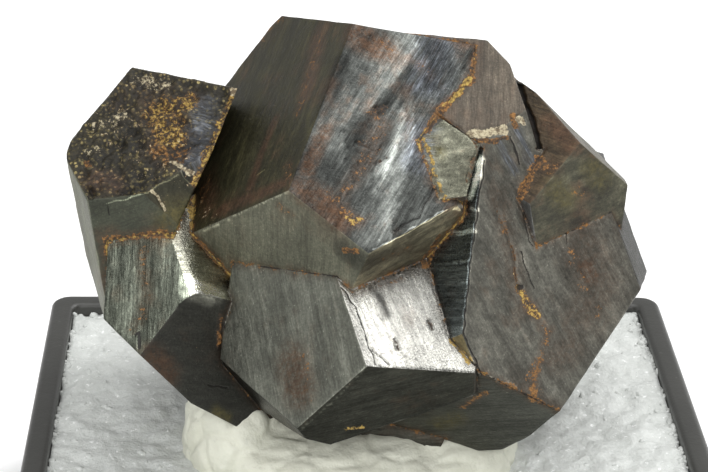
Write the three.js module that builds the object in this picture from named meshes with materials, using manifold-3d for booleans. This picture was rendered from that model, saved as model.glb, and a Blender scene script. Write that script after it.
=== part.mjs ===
// A cluster of intergrown goethite crystals, each in the twelve-sided form of the pyrite that it replaced,
// held by putty on a crumbly foam bed in the square base of a small display box.
// Millimetres, +Z up. X runs along the back of the base, Y away from the viewer.
// The origin is the middle of the base's underside.
import * as THREE from 'three';
import { mergeVertices } from 'three/addons/utils/BufferGeometryUtils.js';
import Module from 'manifold-3d';

const wasm = await Module();
wasm.setup();

// Driving dimensions
const baseSide = 33.3;
const baseHeight = 9.5;
const baseWall = 1.2;
const baseFloor = 1.6;
const baseCorner = 1.0;
const baseEdgeRound = 0.35;
const pocketCorner = 0.5;
const gap = 0.3;
const foamTop = 8.5;
const foamCells = 20;
const foamGrain = 0.3;
const lowestCrystal = 9.9;
const finestDetail = 0.001;

const colours = {
  crystal: { color: 0x4b463f, roughness: 0.42, metalness: 0.35 },
  putty: { color: 0xd9d8c4, roughness: 0.75, metalness: 0 },
  foam: { color: 0xe4e8e6, roughness: 0.6, metalness: 0 },
  base: { color: 0x2b2c29, roughness: 0.4, metalness: 0 },
};

// Each crystal is the space behind its faces. A face is [heading, rise, reach]: heading is where it looks, in
// degrees from the front towards the right; rise is how far it looks up, in degrees; reach is its distance
// from the crystal's middle.
const flankMiddle = [6.2, 2.7, 18.2];
const flankFront = [20, 26, 5.25];

const crystals = {
  // The large crystal at the top: two long striated slopes that meet in a ridge, and a lens-shaped face below
  crown: {
    middle: [-1.4, 3.2, 21.2],
    faces: {
      leftSlope: [-75, 39, 4.95],
      frontSlope: [6, 47, 5.7],
      lens: [-35, -11, 5.35],
      overhang: [37, -28, 5.4],
      right: [71, 9, 6.7],
      skyline: [155, 67, 8.25],
      backLeft: [-146, 14, 9.2],
      back: [178, 12, 8.3],
      backRight: [151, 12, 6.5],
      left: [-98, -22, 7.15],
      lowRight: [107, -40, 7.1],
      lowFront: [-17, -65, 7.1],
      lowBack: [-176, -48, 7.1],
    },
  },
  // The lower middle crystal, which points at the viewer
  keel: {
    middle: [-0.4, 0.2, 14.6],
    faces: {
      upperLeft: [-43, 31, 5.65],
      upperRight: [26, 53, 5.75],
      prow: [10, -12, 5.7],
      left: [-104, -1, 6.05],
      lowerLeft: [-59, -34, 5.25],
      underside: [41, -60, 3.05],
      foot: [-37, -63, 4.0],
      right: [76, 1, 6.0],
      backTopLeft: [-139, 60, 6.6],
      backTopRight: [121, 34, 6.6],
      backRight: [137, -31, 6.6],
      back: [-170, 12, 6.6],
      backLeft: [-154, -53, 6.6],
    },
  },
  // The broad crystal at the right, with the largest face
  flank: {
    middle: flankMiddle,
    faces: {
      front: flankFront,
      rightSlope: [76, 26, 6.4],
      left: [-54, 24, 5.55],
      lowerLeft: [-37, 1, 7.15],
      underside: [-13, -25, 7.85],
      rightLow: [72, -31, 5.85],
      rightTip: [71, -24, 6.3],
      rightBack: [110, 15, 5.85],
      top: [-175, 60, 4.8],
      footFront: [13, -68, 8.65],
      footRight: [58, -48, 7.25],
      footTip: [66, -38, 6.45],
      back: [-160, 10, 6.0],
      backRight: [150, -10, 7.5],
      bottom: [-60, -70, 8.2],
      inner: [-100, 0, 10.0],
    },
  },
  // A second growth of the same crystal, which makes the purple face at its top
  cap: {
    middle: flankMiddle,
    faces: {
      front: flankFront,
      crest: [-1, 51, 7.6],
      right: [94, 17, 3.0],
      skyline: [170, 58, 9.8],
      skylineRight: [113, 33, 5.6],
      lowerLeft: [-46, -28, -0.65],
      left: [-90, 0, 6.7],
      back: [-170, 15, 7.0],
      backRight: [120, -20, 2.0],
    },
  },
  // The small bright face between the crown and the flank
  knob: {
    middle: [3.3, 0.6, 24.2],
    faces: {
      front: [-13, 42, 1.7],
      right: [82, -14, 1.1],
      underside: [10, -49, 2.15],
      top: [120, 49, 1.5],
      topLeft: [-61, 57, 2.1],
      left: [-90, 0, 3.1],
      back: [180, 0, 2.55],
      bottom: [0, -70, 3.0],
    },
  },
  // The wedge at the right shoulder
  shoulder: {
    middle: [7.2, 4.2, 21.2],
    faces: {
      front: [24, 11, 5.25],
      redSlope: [-32, 47, 4.7],
      recess: [-45, -3, 4.0],
      sky: [96, 47, 4.25],
      skyBack: [119, 39, 3.3],
      right: [86, -6, 4.55],
      back: [-160, 10, 5.0],
      backTop: [-170, 55, 5.5],
      backRight: [150, 0, 5.0],
      bottom: [20, -60, 5.05],
    },
  },
  // The lower left crystal, with a striated face that rounds over into a very bright one
  west: {
    middle: [-7.5, 1.7, 16.7],
    faces: {
      striated: [-20, 50, 3.8],
      dark: [35, 10, 2.45],
      bright: [63, 49, 1.95],
      lowerLeft: [-64, -39, 4.2],
      left: [-94, -4, 4.65],
      foot: [-53, -51, 4.65],
      footFront: [12, -63, 6.1],
      top: [0, 80, 5.15],
      right: [90, 10, 6.05],
      back: [-170, 10, 5.6],
      backLeft: [-130, -20, 5.65],
      backTop: [-150, 50, 5.05],
      bottom: [0, -80, 6.6],
    },
  },
  // The upper left crystal, whose top broke away and left a rough rusty surface
  broken: {
    middle: [-9.1, 4.2, 19.7],
    faces: {
      roughTop: [-20, 56, 4.1],
      front: [-6, 3, 3.25],
      facet: [13, 22, 3.35],
      left: [-66, -6, 4.7],
      right: [86, -25, -0.3],
      skyline: [154, 52, 6.4],
      skylineLeft: [-114, 27, 6.15],
      nick: [-102, 8, 5.65],
      leftBack: [-91, -10, 4.65],
      leftLow: [-88, -17, 4.75],
      foot: [-50, -52, 5.85],
      back: [-170, 10, 5.65],
      backLow: [-60, -74, 6.6],
    },
  },
  // A pale facet under the keel
  toe: {
    middle: [1.4, 0.1, 11.6],
    faces: {
      front: [-9, -3, 2.05],
      footLeft: [-23, -69, 1.95],
      foot: [-8, -69, 1.9],
      right: [82, -22, 2.3],
      left: [-70, 0, 3.6],
      back: [180, 0, 3.05],
      top: [170, 60, 2.55],
    },
  },
};

// The crystals of the hidden side are whole twelve-sided forms: middle, [heading, rise, roll] and reach
const rearCrystals = [
  { middle: [3.0, 7.0, 19.8], turn: [200, 20, 15], reach: 4.6 },
  { middle: [-4.2, 7.2, 16.0], turn: [150, 35, 60], reach: 4.2 },
  { middle: [7.2, 7.0, 15.6], turn: [120, -10, 35], reach: 3.9 },
  { middle: [-9.4, 7.2, 17.4], turn: [230, 15, 80], reach: 3.2 },
];

// Limonite that fills the seams between the crystals, in a row of small lumps: [from, to, thickness]
const seams = {
  besideKnob: [[2.0, 0.0, 25.7], [3.2, -2.1, 23.7], 0.28],
  belowCap: [[4.4, 2.5, 27.8], [2.1, 0.1, 25.9], 0.26],
  underOverhang: [[3.1, -2.2, 23.1], [2.2, -1.0, 20.0], 0.3],
  besideLens: [[-8.4, 1.8, 20.2], [-7.1, 0.1, 18.3], 0.34],
  aboveStriated: [[-12.1, 1.3, 20.0], [-8.7, 1.9, 20.2], 0.24],
  besideBroken: [[-6.5, 8.2, 24.5], [-8.3, 4.1, 21.0], 0.3],
  keelToLens: [[-6.5, 0.6, 19.1], [-1.9, -2.8, 20.2], 0.14],
  keelToFlank: [[2.5, -1.1, 20.0], [4.4, -5.1, 16.6], 0.24],
  underShoulder: [[8.8, -0.8, 21.4], [11.1, 0.3, 22.1], 0.2],
};

// The putty is pressed from three soft lumps: a slab, a lobe under the west crystal and one at the back
const puttyLumps = [
  { middle: [-1.3, 2.2, 8.8], halves: [6.8, 5.4, 2.3] },
  { middle: [-6.4, 1.3, 9.4], halves: [2.3, 3.4, 3.5] },
  { middle: [0.0, 5.0, 9.0], halves: [7.0, 3.6, 3.6] },
];

// The foam's torn surface: the mound in front of the putty, and two waves over the whole bed
const foamMound = { middle: [-1.5, -5.0], reach: [9.0, 5.0], height: 1.0 };
const foamWaves = [
  { height: 0.24, along: 1.7, away: -0.9, start: 0.0 },
  { height: 0.2, along: 1.1, away: 2.3, start: 2.0 },
];

// The broken top's crumbs and pits: how many, how far inside the face's edge, and their sizes
const topCrumbs = { count: 52, margin: 0.05, size: [0.25, 0.65], sunk: 0.4 };
const topPits = { count: 14, margin: 0.4, size: [0.25, 0.6], sunk: -0.1 };

// Small helpers
function randomFrom(seed) {
  let state = seed;
  return (low, high) => {
    state = (state * 1664525 + 1013904223) % 4294967296;
    return low + (high - low) * (state / 4294967296);
  };
}

function vector(values) {
  return new THREE.Vector3(...values);
}

function direction(heading, rise) {
  const turn = THREE.MathUtils.degToRad(heading);
  const lift = THREE.MathUtils.degToRad(rise);
  return new THREE.Vector3(
    Math.sin(turn) * Math.cos(lift),
    -Math.cos(turn) * Math.cos(lift),
    Math.sin(lift),
  );
}

function solidFrom(geometry) {
  const bare = geometry.clone();
  bare.deleteAttribute('normal');
  bare.deleteAttribute('uv');
  const merged = mergeVertices(bare, 1e-5);
  return new wasm.Manifold(new wasm.Mesh({
    numProp: 3,
    vertProperties: new Float32Array(merged.attributes.position.array),
    triVerts: new Uint32Array(merged.index.array),
  }));
}

// The mesh of a solid. Corners closer than the finest detail become one, and the slivers between them go.
function geometryFrom(solid) {
  const mesh = solid.getMesh();
  const raw = new THREE.BufferGeometry();
  raw.setAttribute('position', new THREE.BufferAttribute(new Float32Array(mesh.vertProperties), 3));
  raw.setIndex(Array.from(mesh.triVerts));
  const geometry = mergeVertices(raw, finestDetail);
  const index = Array.from(geometry.index.array);
  const kept = [];
  for (let i = 0; i < index.length; i += 3) {
    const [a, b, c] = index.slice(i, i + 3);
    if (a !== b && b !== c && c !== a) kept.push(a, b, c);
  }
  geometry.setIndex(kept);
  geometry.computeVertexNormals();
  return geometry;
}

function union(solids) {
  return solids.reduce((joined, next) => joined.add(next));
}

function largest(solid) {
  return solid.decompose().reduce((a, b) => (a.volume() > b.volume() ? a : b));
}

// Planes of a crystal, each with its normal and its distance from the origin
function planesOf(crystal, grow = 0) {
  const middle = vector(crystal.middle);
  return Object.values(crystal.faces).map(([heading, rise, reach]) => {
    const normal = direction(heading, rise);
    return { normal, distance: normal.dot(middle) + reach + grow };
  });
}

// The corner where three planes meet, or null where they are nearly parallel
function corner(a, b, c) {
  const cross = new THREE.Vector3().crossVectors(b.normal, c.normal);
  const spread = a.normal.dot(cross);
  if (Math.abs(spread) < 1e-5) return null;
  return cross.multiplyScalar(a.distance)
    .add(new THREE.Vector3().crossVectors(c.normal, a.normal).multiplyScalar(b.distance))
    .add(new THREE.Vector3().crossVectors(a.normal, b.normal).multiplyScalar(c.distance))
    .divideScalar(spread);
}

// The closed convex solid behind a set of planes
function convexGeometry(planes) {
  const corners = [];
  const onFace = planes.map(() => []);
  for (let i = 0; i < planes.length; i += 1) {
    for (let j = i + 1; j < planes.length; j += 1) {
      for (let k = j + 1; k < planes.length; k += 1) {
        const point = corner(planes[i], planes[j], planes[k]);
        if (!point || planes.some((p) => p.normal.dot(point) > p.distance + 1e-6)) continue;
        let index = corners.findIndex((known) => known.distanceTo(point) < 1e-4);
        if (index < 0) index = corners.push(point) - 1;
        [i, j, k].forEach((face) => {
          if (!onFace[face].includes(index)) onFace[face].push(index);
        });
      }
    }
  }
  const triangles = [];
  onFace.forEach((ring, face) => {
    if (ring.length < 3) return;
    const { normal } = planes[face];
    const centre = ring
      .reduce((sum, i) => sum.add(corners[i]), new THREE.Vector3())
      .divideScalar(ring.length);
    const along = corners[ring[0]].clone().sub(centre).normalize();
    const aside = new THREE.Vector3().crossVectors(normal, along);
    const angle = (i) => {
      const arm = corners[i].clone().sub(centre);
      return Math.atan2(arm.dot(aside), arm.dot(along));
    };
    ring.sort((a, b) => angle(a) - angle(b));
    for (let i = 1; i + 1 < ring.length; i += 1) triangles.push(ring[0], ring[i], ring[i + 1]);
  });
  const geometry = new THREE.BufferGeometry();
  const positions = corners.flatMap((p) => p.toArray());
  geometry.setAttribute('position', new THREE.BufferAttribute(new Float32Array(positions), 3));
  geometry.setIndex(triangles);
  return geometry;
}

function crystalSolid(crystal, grow = 0) {
  return solidFrom(convexGeometry(planesOf(crystal, grow)));
}

// The twelve planes of a pyritohedron, turned and placed
function pyritohedron({ middle, turn, reach }, grow = 0) {
  const [heading, rise, roll] = turn.map(THREE.MathUtils.degToRad);
  const pose = new THREE.Euler(rise, roll, heading, 'ZXY');
  const place = vector(middle);
  const planes = [];
  for (const near of [1, -1]) {
    for (const far of [2, -2]) {
      for (const axes of [[near, far, 0], [0, near, far], [far, 0, near]]) {
        const normal = vector(axes).normalize().applyEuler(pose);
        planes.push({ normal, distance: normal.dot(place) + reach + grow });
      }
    }
  }
  return solidFrom(convexGeometry(planes));
}

// A small splinter with no two sides alike, for crumbs, pits and the limonite in the seams
function splinter(place, size, random) {
  const shape = new THREE.IcosahedronGeometry(size, 0);
  shape.scale(random(0.6, 1.3), random(0.6, 1.3), random(0.5, 0.9));
  shape.applyMatrix4(new THREE.Matrix4().makeRotationFromEuler(
    new THREE.Euler(random(0, 3), random(0, 3), random(0, 3)),
  ));
  shape.translate(place.x, place.y, place.z);
  return solidFrom(shape);
}

// Places scattered over one face of a crystal, a little inside its edges
function placesOn(crystal, faceName, count, margin, random) {
  const planes = planesOf(crystal);
  const chosen = planes[Object.keys(crystal.faces).indexOf(faceName)];
  const others = planes.filter((plane) => plane !== chosen);
  const foot = vector(crystal.middle);
  foot.addScaledVector(chosen.normal, chosen.distance - chosen.normal.dot(foot));
  const along = new THREE.Vector3(1, 0, 0).cross(chosen.normal).normalize();
  const aside = new THREE.Vector3().crossVectors(chosen.normal, along);
  const places = [];
  for (let tries = 0; tries < 40 * count && places.length < count; tries += 1) {
    const place = foot.clone()
      .addScaledVector(along, random(-7, 7))
      .addScaledVector(aside, random(-7, 7));
    if (others.every((plane) => plane.normal.dot(place) < plane.distance - margin)) places.push(place);
  }
  return { places, normal: chosen.normal };
}

// The rough broken top: crumbs that stand out of the face and pits that go into it
function roughen(cluster) {
  const random = randomFrom(11);
  const onTop = ({ count, margin, size, sunk }) => {
    const { places, normal } = placesOn(crystals.broken, 'roughTop', count, margin, random);
    return places.map((place) => {
      const radius = random(...size);
      return splinter(place.addScaledVector(normal, -sunk * radius), radius, random);
    });
  };
  return cluster.add(union(onTop(topCrumbs))).subtract(union(onTop(topPits)));
}

// A row of small lumps along a seam
function fillSeam([from, to, thickness], seam) {
  const random = randomFrom(100 + seam);
  const start = vector(from);
  const end = vector(to);
  const count = Math.ceil(start.distanceTo(end) / (1.5 * thickness));
  const lumps = [];
  for (let i = 0; i <= count; i += 1) {
    const place = start.clone().lerp(end, i / count);
    lumps.push(splinter(place, thickness * random(0.9, 1.25), random));
  }
  return union(lumps);
}

function block(low, high) {
  const size = vector(high).sub(vector(low));
  const geometry = new THREE.BoxGeometry(...size.toArray());
  geometry.translate(...vector(low).add(vector(high)).multiplyScalar(0.5).toArray());
  return solidFrom(geometry);
}

// All the crystals joined, each face moved out by grow
function joinedCrystals(grow = 0) {
  return union([
    ...Object.values(crystals).map((crystal) => crystalSolid(crystal, grow)),
    ...rearCrystals.map((crystal) => pyritohedron(crystal, grow)),
  ]);
}

function makeCluster() {
  const above = block([-30, -30, lowestCrystal], [30, 30, 60]);
  const grown = joinedCrystals().add(union(Object.values(seams).map(fillSeam)));
  return largest(roughen(grown).intersect(above));
}

// Height of the foam's torn surface, the same wherever it is asked for: a mound in front of the putty, two
// slow waves, and a grain from cell to cell
function foamHeight(x, y) {
  const fromMound = ((x - foamMound.middle[0]) / foamMound.reach[0]) ** 2
    + ((y - foamMound.middle[1]) / foamMound.reach[1]) ** 2;
  const waves = foamWaves.map(({ height, along, away, start }) => (
    height * Math.sin(along * x + away * y + start)
  ));
  const spark = Math.sin(12.9 * x + 78.2 * y) * 43758.5;
  const grain = foamGrain * (spark - Math.floor(spark) - 0.5);
  return foamTop + foamMound.height * Math.exp(-fromMound) + waves[0] + waves[1] + grain;
}

function foamSolid(lift = 0) {
  const side = baseSide - 2 * (baseWall + gap);
  const geometry = new THREE.BoxGeometry(side, side, foamTop, foamCells, foamCells, 1);
  geometry.translate(0, 0, foamTop / 2);
  const points = geometry.attributes.position;
  for (let i = 0; i < points.count; i += 1) {
    if (points.getZ(i) > foamTop / 2) {
      const rounded = [points.getX(i), points.getY(i)].map((value) => Math.round(value * 100) / 100);
      points.setZ(i, foamHeight(...rounded) + lift);
    }
  }
  const aboveFloor = block([-side, -side, baseFloor + gap], [side, side, 2 * foamTop]);
  return solidFrom(geometry).intersect(aboveFloor);
}

// A pressed lump: an ellipsoid with fuller shoulders and a slow swell over its surface
function softLump({ middle, halves }) {
  const shape = new THREE.IcosahedronGeometry(1, 6);
  const points = shape.attributes.position;
  for (let i = 0; i < points.count; i += 1) {
    const [x, y, z] = [points.getX(i), points.getY(i), points.getZ(i)]
      .map((value) => Math.sign(value) * Math.abs(value) ** 0.8);
    const swell = 1 + 0.04 * Math.sin(5 * x + 2 * z) * Math.cos(4 * y + 1);
    points.setXYZ(i, x * swell * halves[0], y * swell * halves[1], z * swell * halves[2]);
  }
  shape.translate(...middle);
  return solidFrom(shape);
}

function makePutty() {
  const pressed = union(puttyLumps.map(softLump));
  return largest(pressed.subtract(joinedCrystals(gap)).subtract(foamSolid(gap)));
}

function roundedSquare(side, radius) {
  const half = side / 2;
  const shape = new THREE.Shape();
  shape.moveTo(-half + radius, -half);
  shape.lineTo(half - radius, -half);
  shape.absarc(half - radius, -half + radius, radius, -Math.PI / 2, 0);
  shape.lineTo(half, half - radius);
  shape.absarc(half - radius, half - radius, radius, 0, Math.PI / 2);
  shape.lineTo(-half + radius, half);
  shape.absarc(-half + radius, half - radius, radius, Math.PI / 2, Math.PI);
  shape.lineTo(-half, -half + radius);
  shape.absarc(-half + radius, -half + radius, radius, Math.PI, 1.5 * Math.PI);
  return shape;
}

// The tray: a rounded square block with a square pocket, all its edges softly rounded
function makeBase() {
  const soft = baseEdgeRound;
  const rounding = {
    bevelEnabled: true,
    bevelSize: soft,
    bevelThickness: soft,
    bevelSegments: 2,
    curveSegments: 4,
  };
  const outside = new THREE.ExtrudeGeometry(
    roundedSquare(baseSide - 2 * soft, baseCorner - soft),
    { ...rounding, depth: baseHeight - 2 * soft },
  );
  outside.translate(0, 0, soft);
  const pocketSide = baseSide - 2 * baseWall;
  const pocket = new THREE.ExtrudeGeometry(
    roundedSquare(pocketSide, pocketCorner),
    { depth: baseHeight, bevelEnabled: false, curveSegments: 4 },
  );
  pocket.translate(0, 0, baseFloor);
  const mouth = new THREE.ExtrudeGeometry(
    roundedSquare(pocketSide, pocketCorner),
    { ...rounding, bevelSegments: 1, depth: baseWall },
  );
  mouth.translate(0, 0, baseHeight);
  return solidFrom(outside).subtract(solidFrom(pocket)).subtract(solidFrom(mouth));
}

function piece(name, solid, look) {
  const mesh = new THREE.Mesh(geometryFrom(solid), new THREE.MeshStandardMaterial(look));
  mesh.name = name;
  return mesh;
}

const specimen = new THREE.Group();
specimen.add(piece('crystal_cluster', makeCluster(), colours.crystal));
specimen.add(piece('mounting_putty', makePutty(), colours.putty));
specimen.add(piece('foam_bed', foamSolid(), colours.foam));
specimen.add(piece('display_base', makeBase(), colours.base));

export default specimen;
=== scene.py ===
"""The looks of a goethite pseudomorph after pyrite, set in putty on torn foam in the base of a display box.

The shapes are modelled in millimetres in the frame of the solids and scaled to metres at the end.
"""

import math
import random
from collections import namedtuple

import bmesh
import bpy
import numpy as np
from mathutils import Matrix, Vector, noise
from mathutils.kdtree import KDTree


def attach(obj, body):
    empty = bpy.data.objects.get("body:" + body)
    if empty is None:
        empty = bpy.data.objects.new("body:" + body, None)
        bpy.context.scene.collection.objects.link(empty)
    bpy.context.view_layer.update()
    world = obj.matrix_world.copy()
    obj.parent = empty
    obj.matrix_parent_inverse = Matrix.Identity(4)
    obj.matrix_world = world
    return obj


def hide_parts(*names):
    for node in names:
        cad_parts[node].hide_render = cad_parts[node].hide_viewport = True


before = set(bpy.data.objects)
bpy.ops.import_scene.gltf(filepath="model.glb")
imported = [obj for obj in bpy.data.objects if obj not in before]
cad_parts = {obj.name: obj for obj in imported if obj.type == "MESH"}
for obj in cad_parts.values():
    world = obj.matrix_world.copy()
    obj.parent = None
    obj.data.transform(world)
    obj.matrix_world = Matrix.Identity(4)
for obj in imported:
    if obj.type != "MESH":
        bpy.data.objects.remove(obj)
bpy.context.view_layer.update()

MM = 0.001

# Without a seed the vector noise starts from the clock, and each run would be a little different
NOISE_SEED = 5
noise.seed_set(NOISE_SEED)

# The display base and what fills it, in millimetres, as in the part's source
BASE_SIDE = 33.3
BASE_HEIGHT = 9.5
BASE_WALL = 1.2
BASE_FLOOR = 1.6
BASE_CORNER = 1.0
BASE_ROUND = 0.35
LIP_SHARE = 0.8
ROUND_STOPS = 5
INNER_CORNER = 0.45
CORNER_STEPS = 6
FOAM_TOP = 8.5
FOAM_GAP = 0.05
FOAM_FOOT = 0.3
FOAM_STEPS = 150
FLAKES = 420
RIM_FLAKES = 420
FLAKE_BATCH = 60
LOWEST_CRYSTAL = 9.9

# Each crystal has a middle and is the space behind its faces. A face is (heading, rise, reach): where it
# looks, in degrees from the front towards the right, how far it looks up, and its distance from the middle.
FLANK_MIDDLE = (6.2, 2.7, 18.2)
FLANK_FRONT = (20, 26, 5.25)

CRYSTALS = {
    # The large crystal at the top: two long striated slopes that meet in a ridge, a lens-shaped face below
    "crown": ((-1.4, 3.2, 21.2), {
        "left_slope": (-75, 39, 4.95), "front_slope": (6, 47, 5.7), "lens": (-35, -11, 5.35),
        "overhang": (37, -28, 5.4), "right": (71, 9, 6.7), "skyline": (155, 67, 8.25),
        "back_left": (-146, 14, 9.2), "back": (178, 12, 8.3), "back_right": (151, 12, 6.5),
        "left": (-98, -22, 7.15), "low_right": (107, -40, 7.1), "low_front": (-17, -65, 7.1),
        "low_back": (-176, -48, 7.1),
    }),
    # The lower middle crystal, which points at the viewer
    "keel": ((-0.4, 0.2, 14.6), {
        "upper_left": (-43, 31, 5.65), "upper_right": (26, 53, 5.75), "prow": (10, -12, 5.7),
        "left": (-104, -1, 6.05), "lower_left": (-59, -34, 5.25), "underside": (41, -60, 3.05),
        "foot": (-37, -63, 4.0), "right": (76, 1, 6.0), "back_top_left": (-139, 60, 6.6),
        "back_top_right": (121, 34, 6.6), "back_right": (137, -31, 6.6), "back": (-170, 12, 6.6),
        "back_left": (-154, -53, 6.6),
    }),
    # The broad crystal at the right, with the largest face
    "flank": (FLANK_MIDDLE, {
        "front": FLANK_FRONT, "right_slope": (76, 26, 6.4), "left": (-54, 24, 5.55),
        "lower_left": (-37, 1, 7.15), "underside": (-13, -25, 7.85), "right_low": (72, -31, 5.85),
        "right_tip": (71, -24, 6.3), "right_back": (110, 15, 5.85), "top": (-175, 60, 4.8),
        "foot_front": (13, -68, 8.65), "foot_right": (58, -48, 7.25), "foot_tip": (66, -38, 6.45),
        "back": (-160, 10, 6.0), "back_right": (150, -10, 7.5), "bottom": (-60, -70, 8.2),
        "inner": (-100, 0, 10.0),
    }),
    # A second growth of the same crystal, which makes the purple face at its top
    "cap": (FLANK_MIDDLE, {
        "front": FLANK_FRONT, "crest": (-1, 51, 7.6), "right": (94, 17, 3.0), "skyline": (170, 58, 9.8),
        "skyline_right": (113, 33, 5.6), "lower_left": (-46, -28, -0.65), "left": (-90, 0, 6.7),
        "back": (-170, 15, 7.0), "back_right": (120, -20, 2.0),
    }),
    # The small bright face between the crown and the flank
    "knob": ((3.3, 0.6, 24.2), {
        "front": (-13, 42, 1.7), "right": (82, -14, 1.1), "underside": (10, -49, 2.15),
        "top": (120, 49, 1.5), "top_left": (-61, 57, 2.1), "left": (-90, 0, 3.1), "back": (180, 0, 2.55),
        "bottom": (0, -70, 3.0),
    }),
    # The wedge at the right shoulder
    "shoulder": ((7.2, 4.2, 21.2), {
        "front": (24, 11, 5.25), "red_slope": (-32, 47, 4.7), "recess": (-45, -3, 4.0),
        "sky": (96, 47, 4.25), "sky_back": (119, 39, 3.3), "right": (86, -6, 4.55), "back": (-160, 10, 5.0),
        "back_top": (-170, 55, 5.5), "back_right": (150, 0, 5.0), "bottom": (20, -60, 5.05),
    }),
    # The lower left crystal, with a striated face that rounds over into a very bright one
    "west": ((-7.5, 1.7, 16.7), {
        "striated": (-20, 50, 3.8), "dark": (35, 10, 2.45), "bright": (63, 49, 1.95),
        "lower_left": (-64, -39, 4.2), "left": (-94, -4, 4.65), "foot": (-53, -51, 4.65),
        "foot_front": (12, -63, 6.1), "top": (0, 80, 5.15), "right": (90, 10, 6.05),
        "back": (-170, 10, 5.6), "back_left": (-130, -20, 5.65), "back_top": (-150, 50, 5.05),
        "bottom": (0, -80, 6.6),
    }),
    # The upper left crystal, whose top broke away and left a rough rusty surface
    "broken": ((-9.1, 4.2, 19.7), {
        "rough_top": (-20, 56, 4.1), "front": (-6, 3, 3.25), "facet": (13, 22, 3.35),
        "left": (-66, -6, 4.7), "right": (86, -25, -0.3), "skyline": (154, 52, 6.4),
        "skyline_left": (-114, 27, 6.15), "nick": (-102, 8, 5.65), "left_back": (-91, -10, 4.65),
        "left_low": (-88, -17, 4.75), "foot": (-50, -52, 5.85), "back": (-170, 10, 5.65),
        "back_low": (-60, -74, 6.6),
    }),
    # A pale facet under the keel
    "toe": ((1.4, 0.1, 11.6), {
        "front": (-9, -3, 2.05), "foot_left": (-23, -69, 1.95), "foot": (-8, -69, 1.9),
        "right": (82, -22, 2.3), "left": (-70, 0, 3.6), "back": (180, 0, 3.05), "top": (170, 60, 2.55),
    }),
}

# Whole crystals at the hidden back: the middle, the turn in degrees and the reach of each
REAR_CRYSTALS = [
    ((3.0, 7.0, 19.8), (200, 20, 15), 4.6),
    ((-4.2, 7.2, 16.0), (150, 35, 60), 4.2),
    ((7.2, 7.0, 15.6), (120, -10, 35), 3.9),
    ((-9.4, 7.2, 17.4), (230, 15, 80), 3.2),
]

# The block that a crystal is cut from, and what counts as one plane, one point or one direction
BLOCK = 60
ON_PLANE = 1e-6
DOUBLES = 0.01
SAME_WAY = 0.999
RIDGE_STEPS = 7
LEAN_WEIGHT = 4
REFINE_CHAIN = 4

# What each face looks like. Grain is the way that its striations run, in degrees from straight downhill
# towards the right; metal, dull, stria, mottle and crumbly are from 0 to about 1. Each colour holds the
# face's own tint together with painted light and shade: faces that catch a lamp are given lighter colours
# and faces turned to the dark darker ones, though all are the same mineral.
Skin = namedtuple("Skin", "colour metal dull grain stria mottle crumbly", defaults=(0.0,))
DEFAULT_SKIN = Skin((0.088, 0.084, 0.07), 0.7, 0.4, 0, 0.4, 0.7)
SKINS = {
    "crown.left_slope": Skin((0.029, 0.027, 0.012), 0.35, 0.5, 38, 0.55, 0.7),
    "crown.front_slope": Skin((0.053, 0.056, 0.052), 0.9, 0.33, -34, 0.8, 0.9),
    "crown.lens": Skin((0.12, 0.12, 0.087), 0.6, 0.45, -8, 0.35, 0.4),
    "crown.overhang": Skin((0.16, 0.145, 0.095), 0.5, 0.4, 110, 0.4, 1.0),
    "keel.upper_left": Skin((0.133, 0.137, 0.113), 0.8, 0.4, 38, 0.45, 0.5),
    "keel.upper_right": Skin((0.27, 0.267, 0.245), 1.0, 0.25, 2, 0.5, 0.5),
    "keel.prow": Skin((0.036, 0.036, 0.029), 0.95, 0.4, 102, 0.5, 0.5),
    "keel.lower_left": Skin((0.017, 0.016, 0.011), 0.95, 0.4, 60, 0.4, 0.4),
    "flank.front": Skin((0.112, 0.109, 0.091), 0.7, 0.45, 22, 0.3, 0.75),
    "cap.front": Skin((0.185, 0.124, 0.075), 0.7, 0.45, 22, 0.3, 0.75),
    "flank.left": Skin((0.11, 0.126, 0.122), 0.9, 0.28, 113, 1.1, 0.3),
    "flank.lower_left": Skin((0.13, 0.105, 0.05), 0.4, 0.4, 60, 0.4, 0.4),
    "flank.underside": Skin((0.06, 0.061, 0.05), 0.8, 0.4, 104, 0.6, 0.3),
    "flank.right_slope": Skin((0.04, 0.04, 0.034), 0.9, 0.45, 5, 0.6, 0.3),
    "cap.crest": Skin((0.086, 0.071, 0.053), 0.5, 0.5, -3, 0.6, 0.5),
    "knob.front": Skin((0.141, 0.141, 0.107), 1.0, 0.25, 95, 0.3, 1.2),
    "shoulder.front": Skin((0.054, 0.052, 0.034), 0.4, 0.5, 105, 0.2, 1.2),
    "shoulder.red_slope": Skin((0.051, 0.036, 0.02), 0.5, 0.42, 84, 0.6, 0.7),
    "shoulder.recess": Skin((0.09, 0.09, 0.085), 0.5, 0.4, 0, 0.4, 0.4),
    "shoulder.sky": Skin((0.082, 0.073, 0.045), 0.6, 0.4, 90, 0.6, 0.3),
    "west.striated": Skin((0.09, 0.098, 0.078), 1.0, 0.25, 15, 1.0, 0.5),
    "west.dark": Skin((0.034, 0.034, 0.028), 0.5, 0.42, 70, 0.25, 0.3),
    "west.bright": Skin((0.34, 0.34, 0.28), 1.0, 0.25, 50, 0.7, 0.3),
    "broken.rough_top": Skin((0.047, 0.038, 0.015), 0.2, 0.5, 90, 0.1, 0.6, 1.0),
    "broken.front": Skin((0.048, 0.052, 0.036), 0.6, 0.42, 110, 0.3, 0.4),
    "broken.facet": Skin((0.031, 0.03, 0.018), 0.6, 0.42, 20, 0.2, 0.5),
    "broken.left": Skin((0.11, 0.114, 0.079), 0.6, 0.45, 10, 0.5, 0.3),
    "toe.front": Skin((0.08, 0.078, 0.066), 0.95, 0.42, 100, 0.7, 0.3),
}
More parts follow.
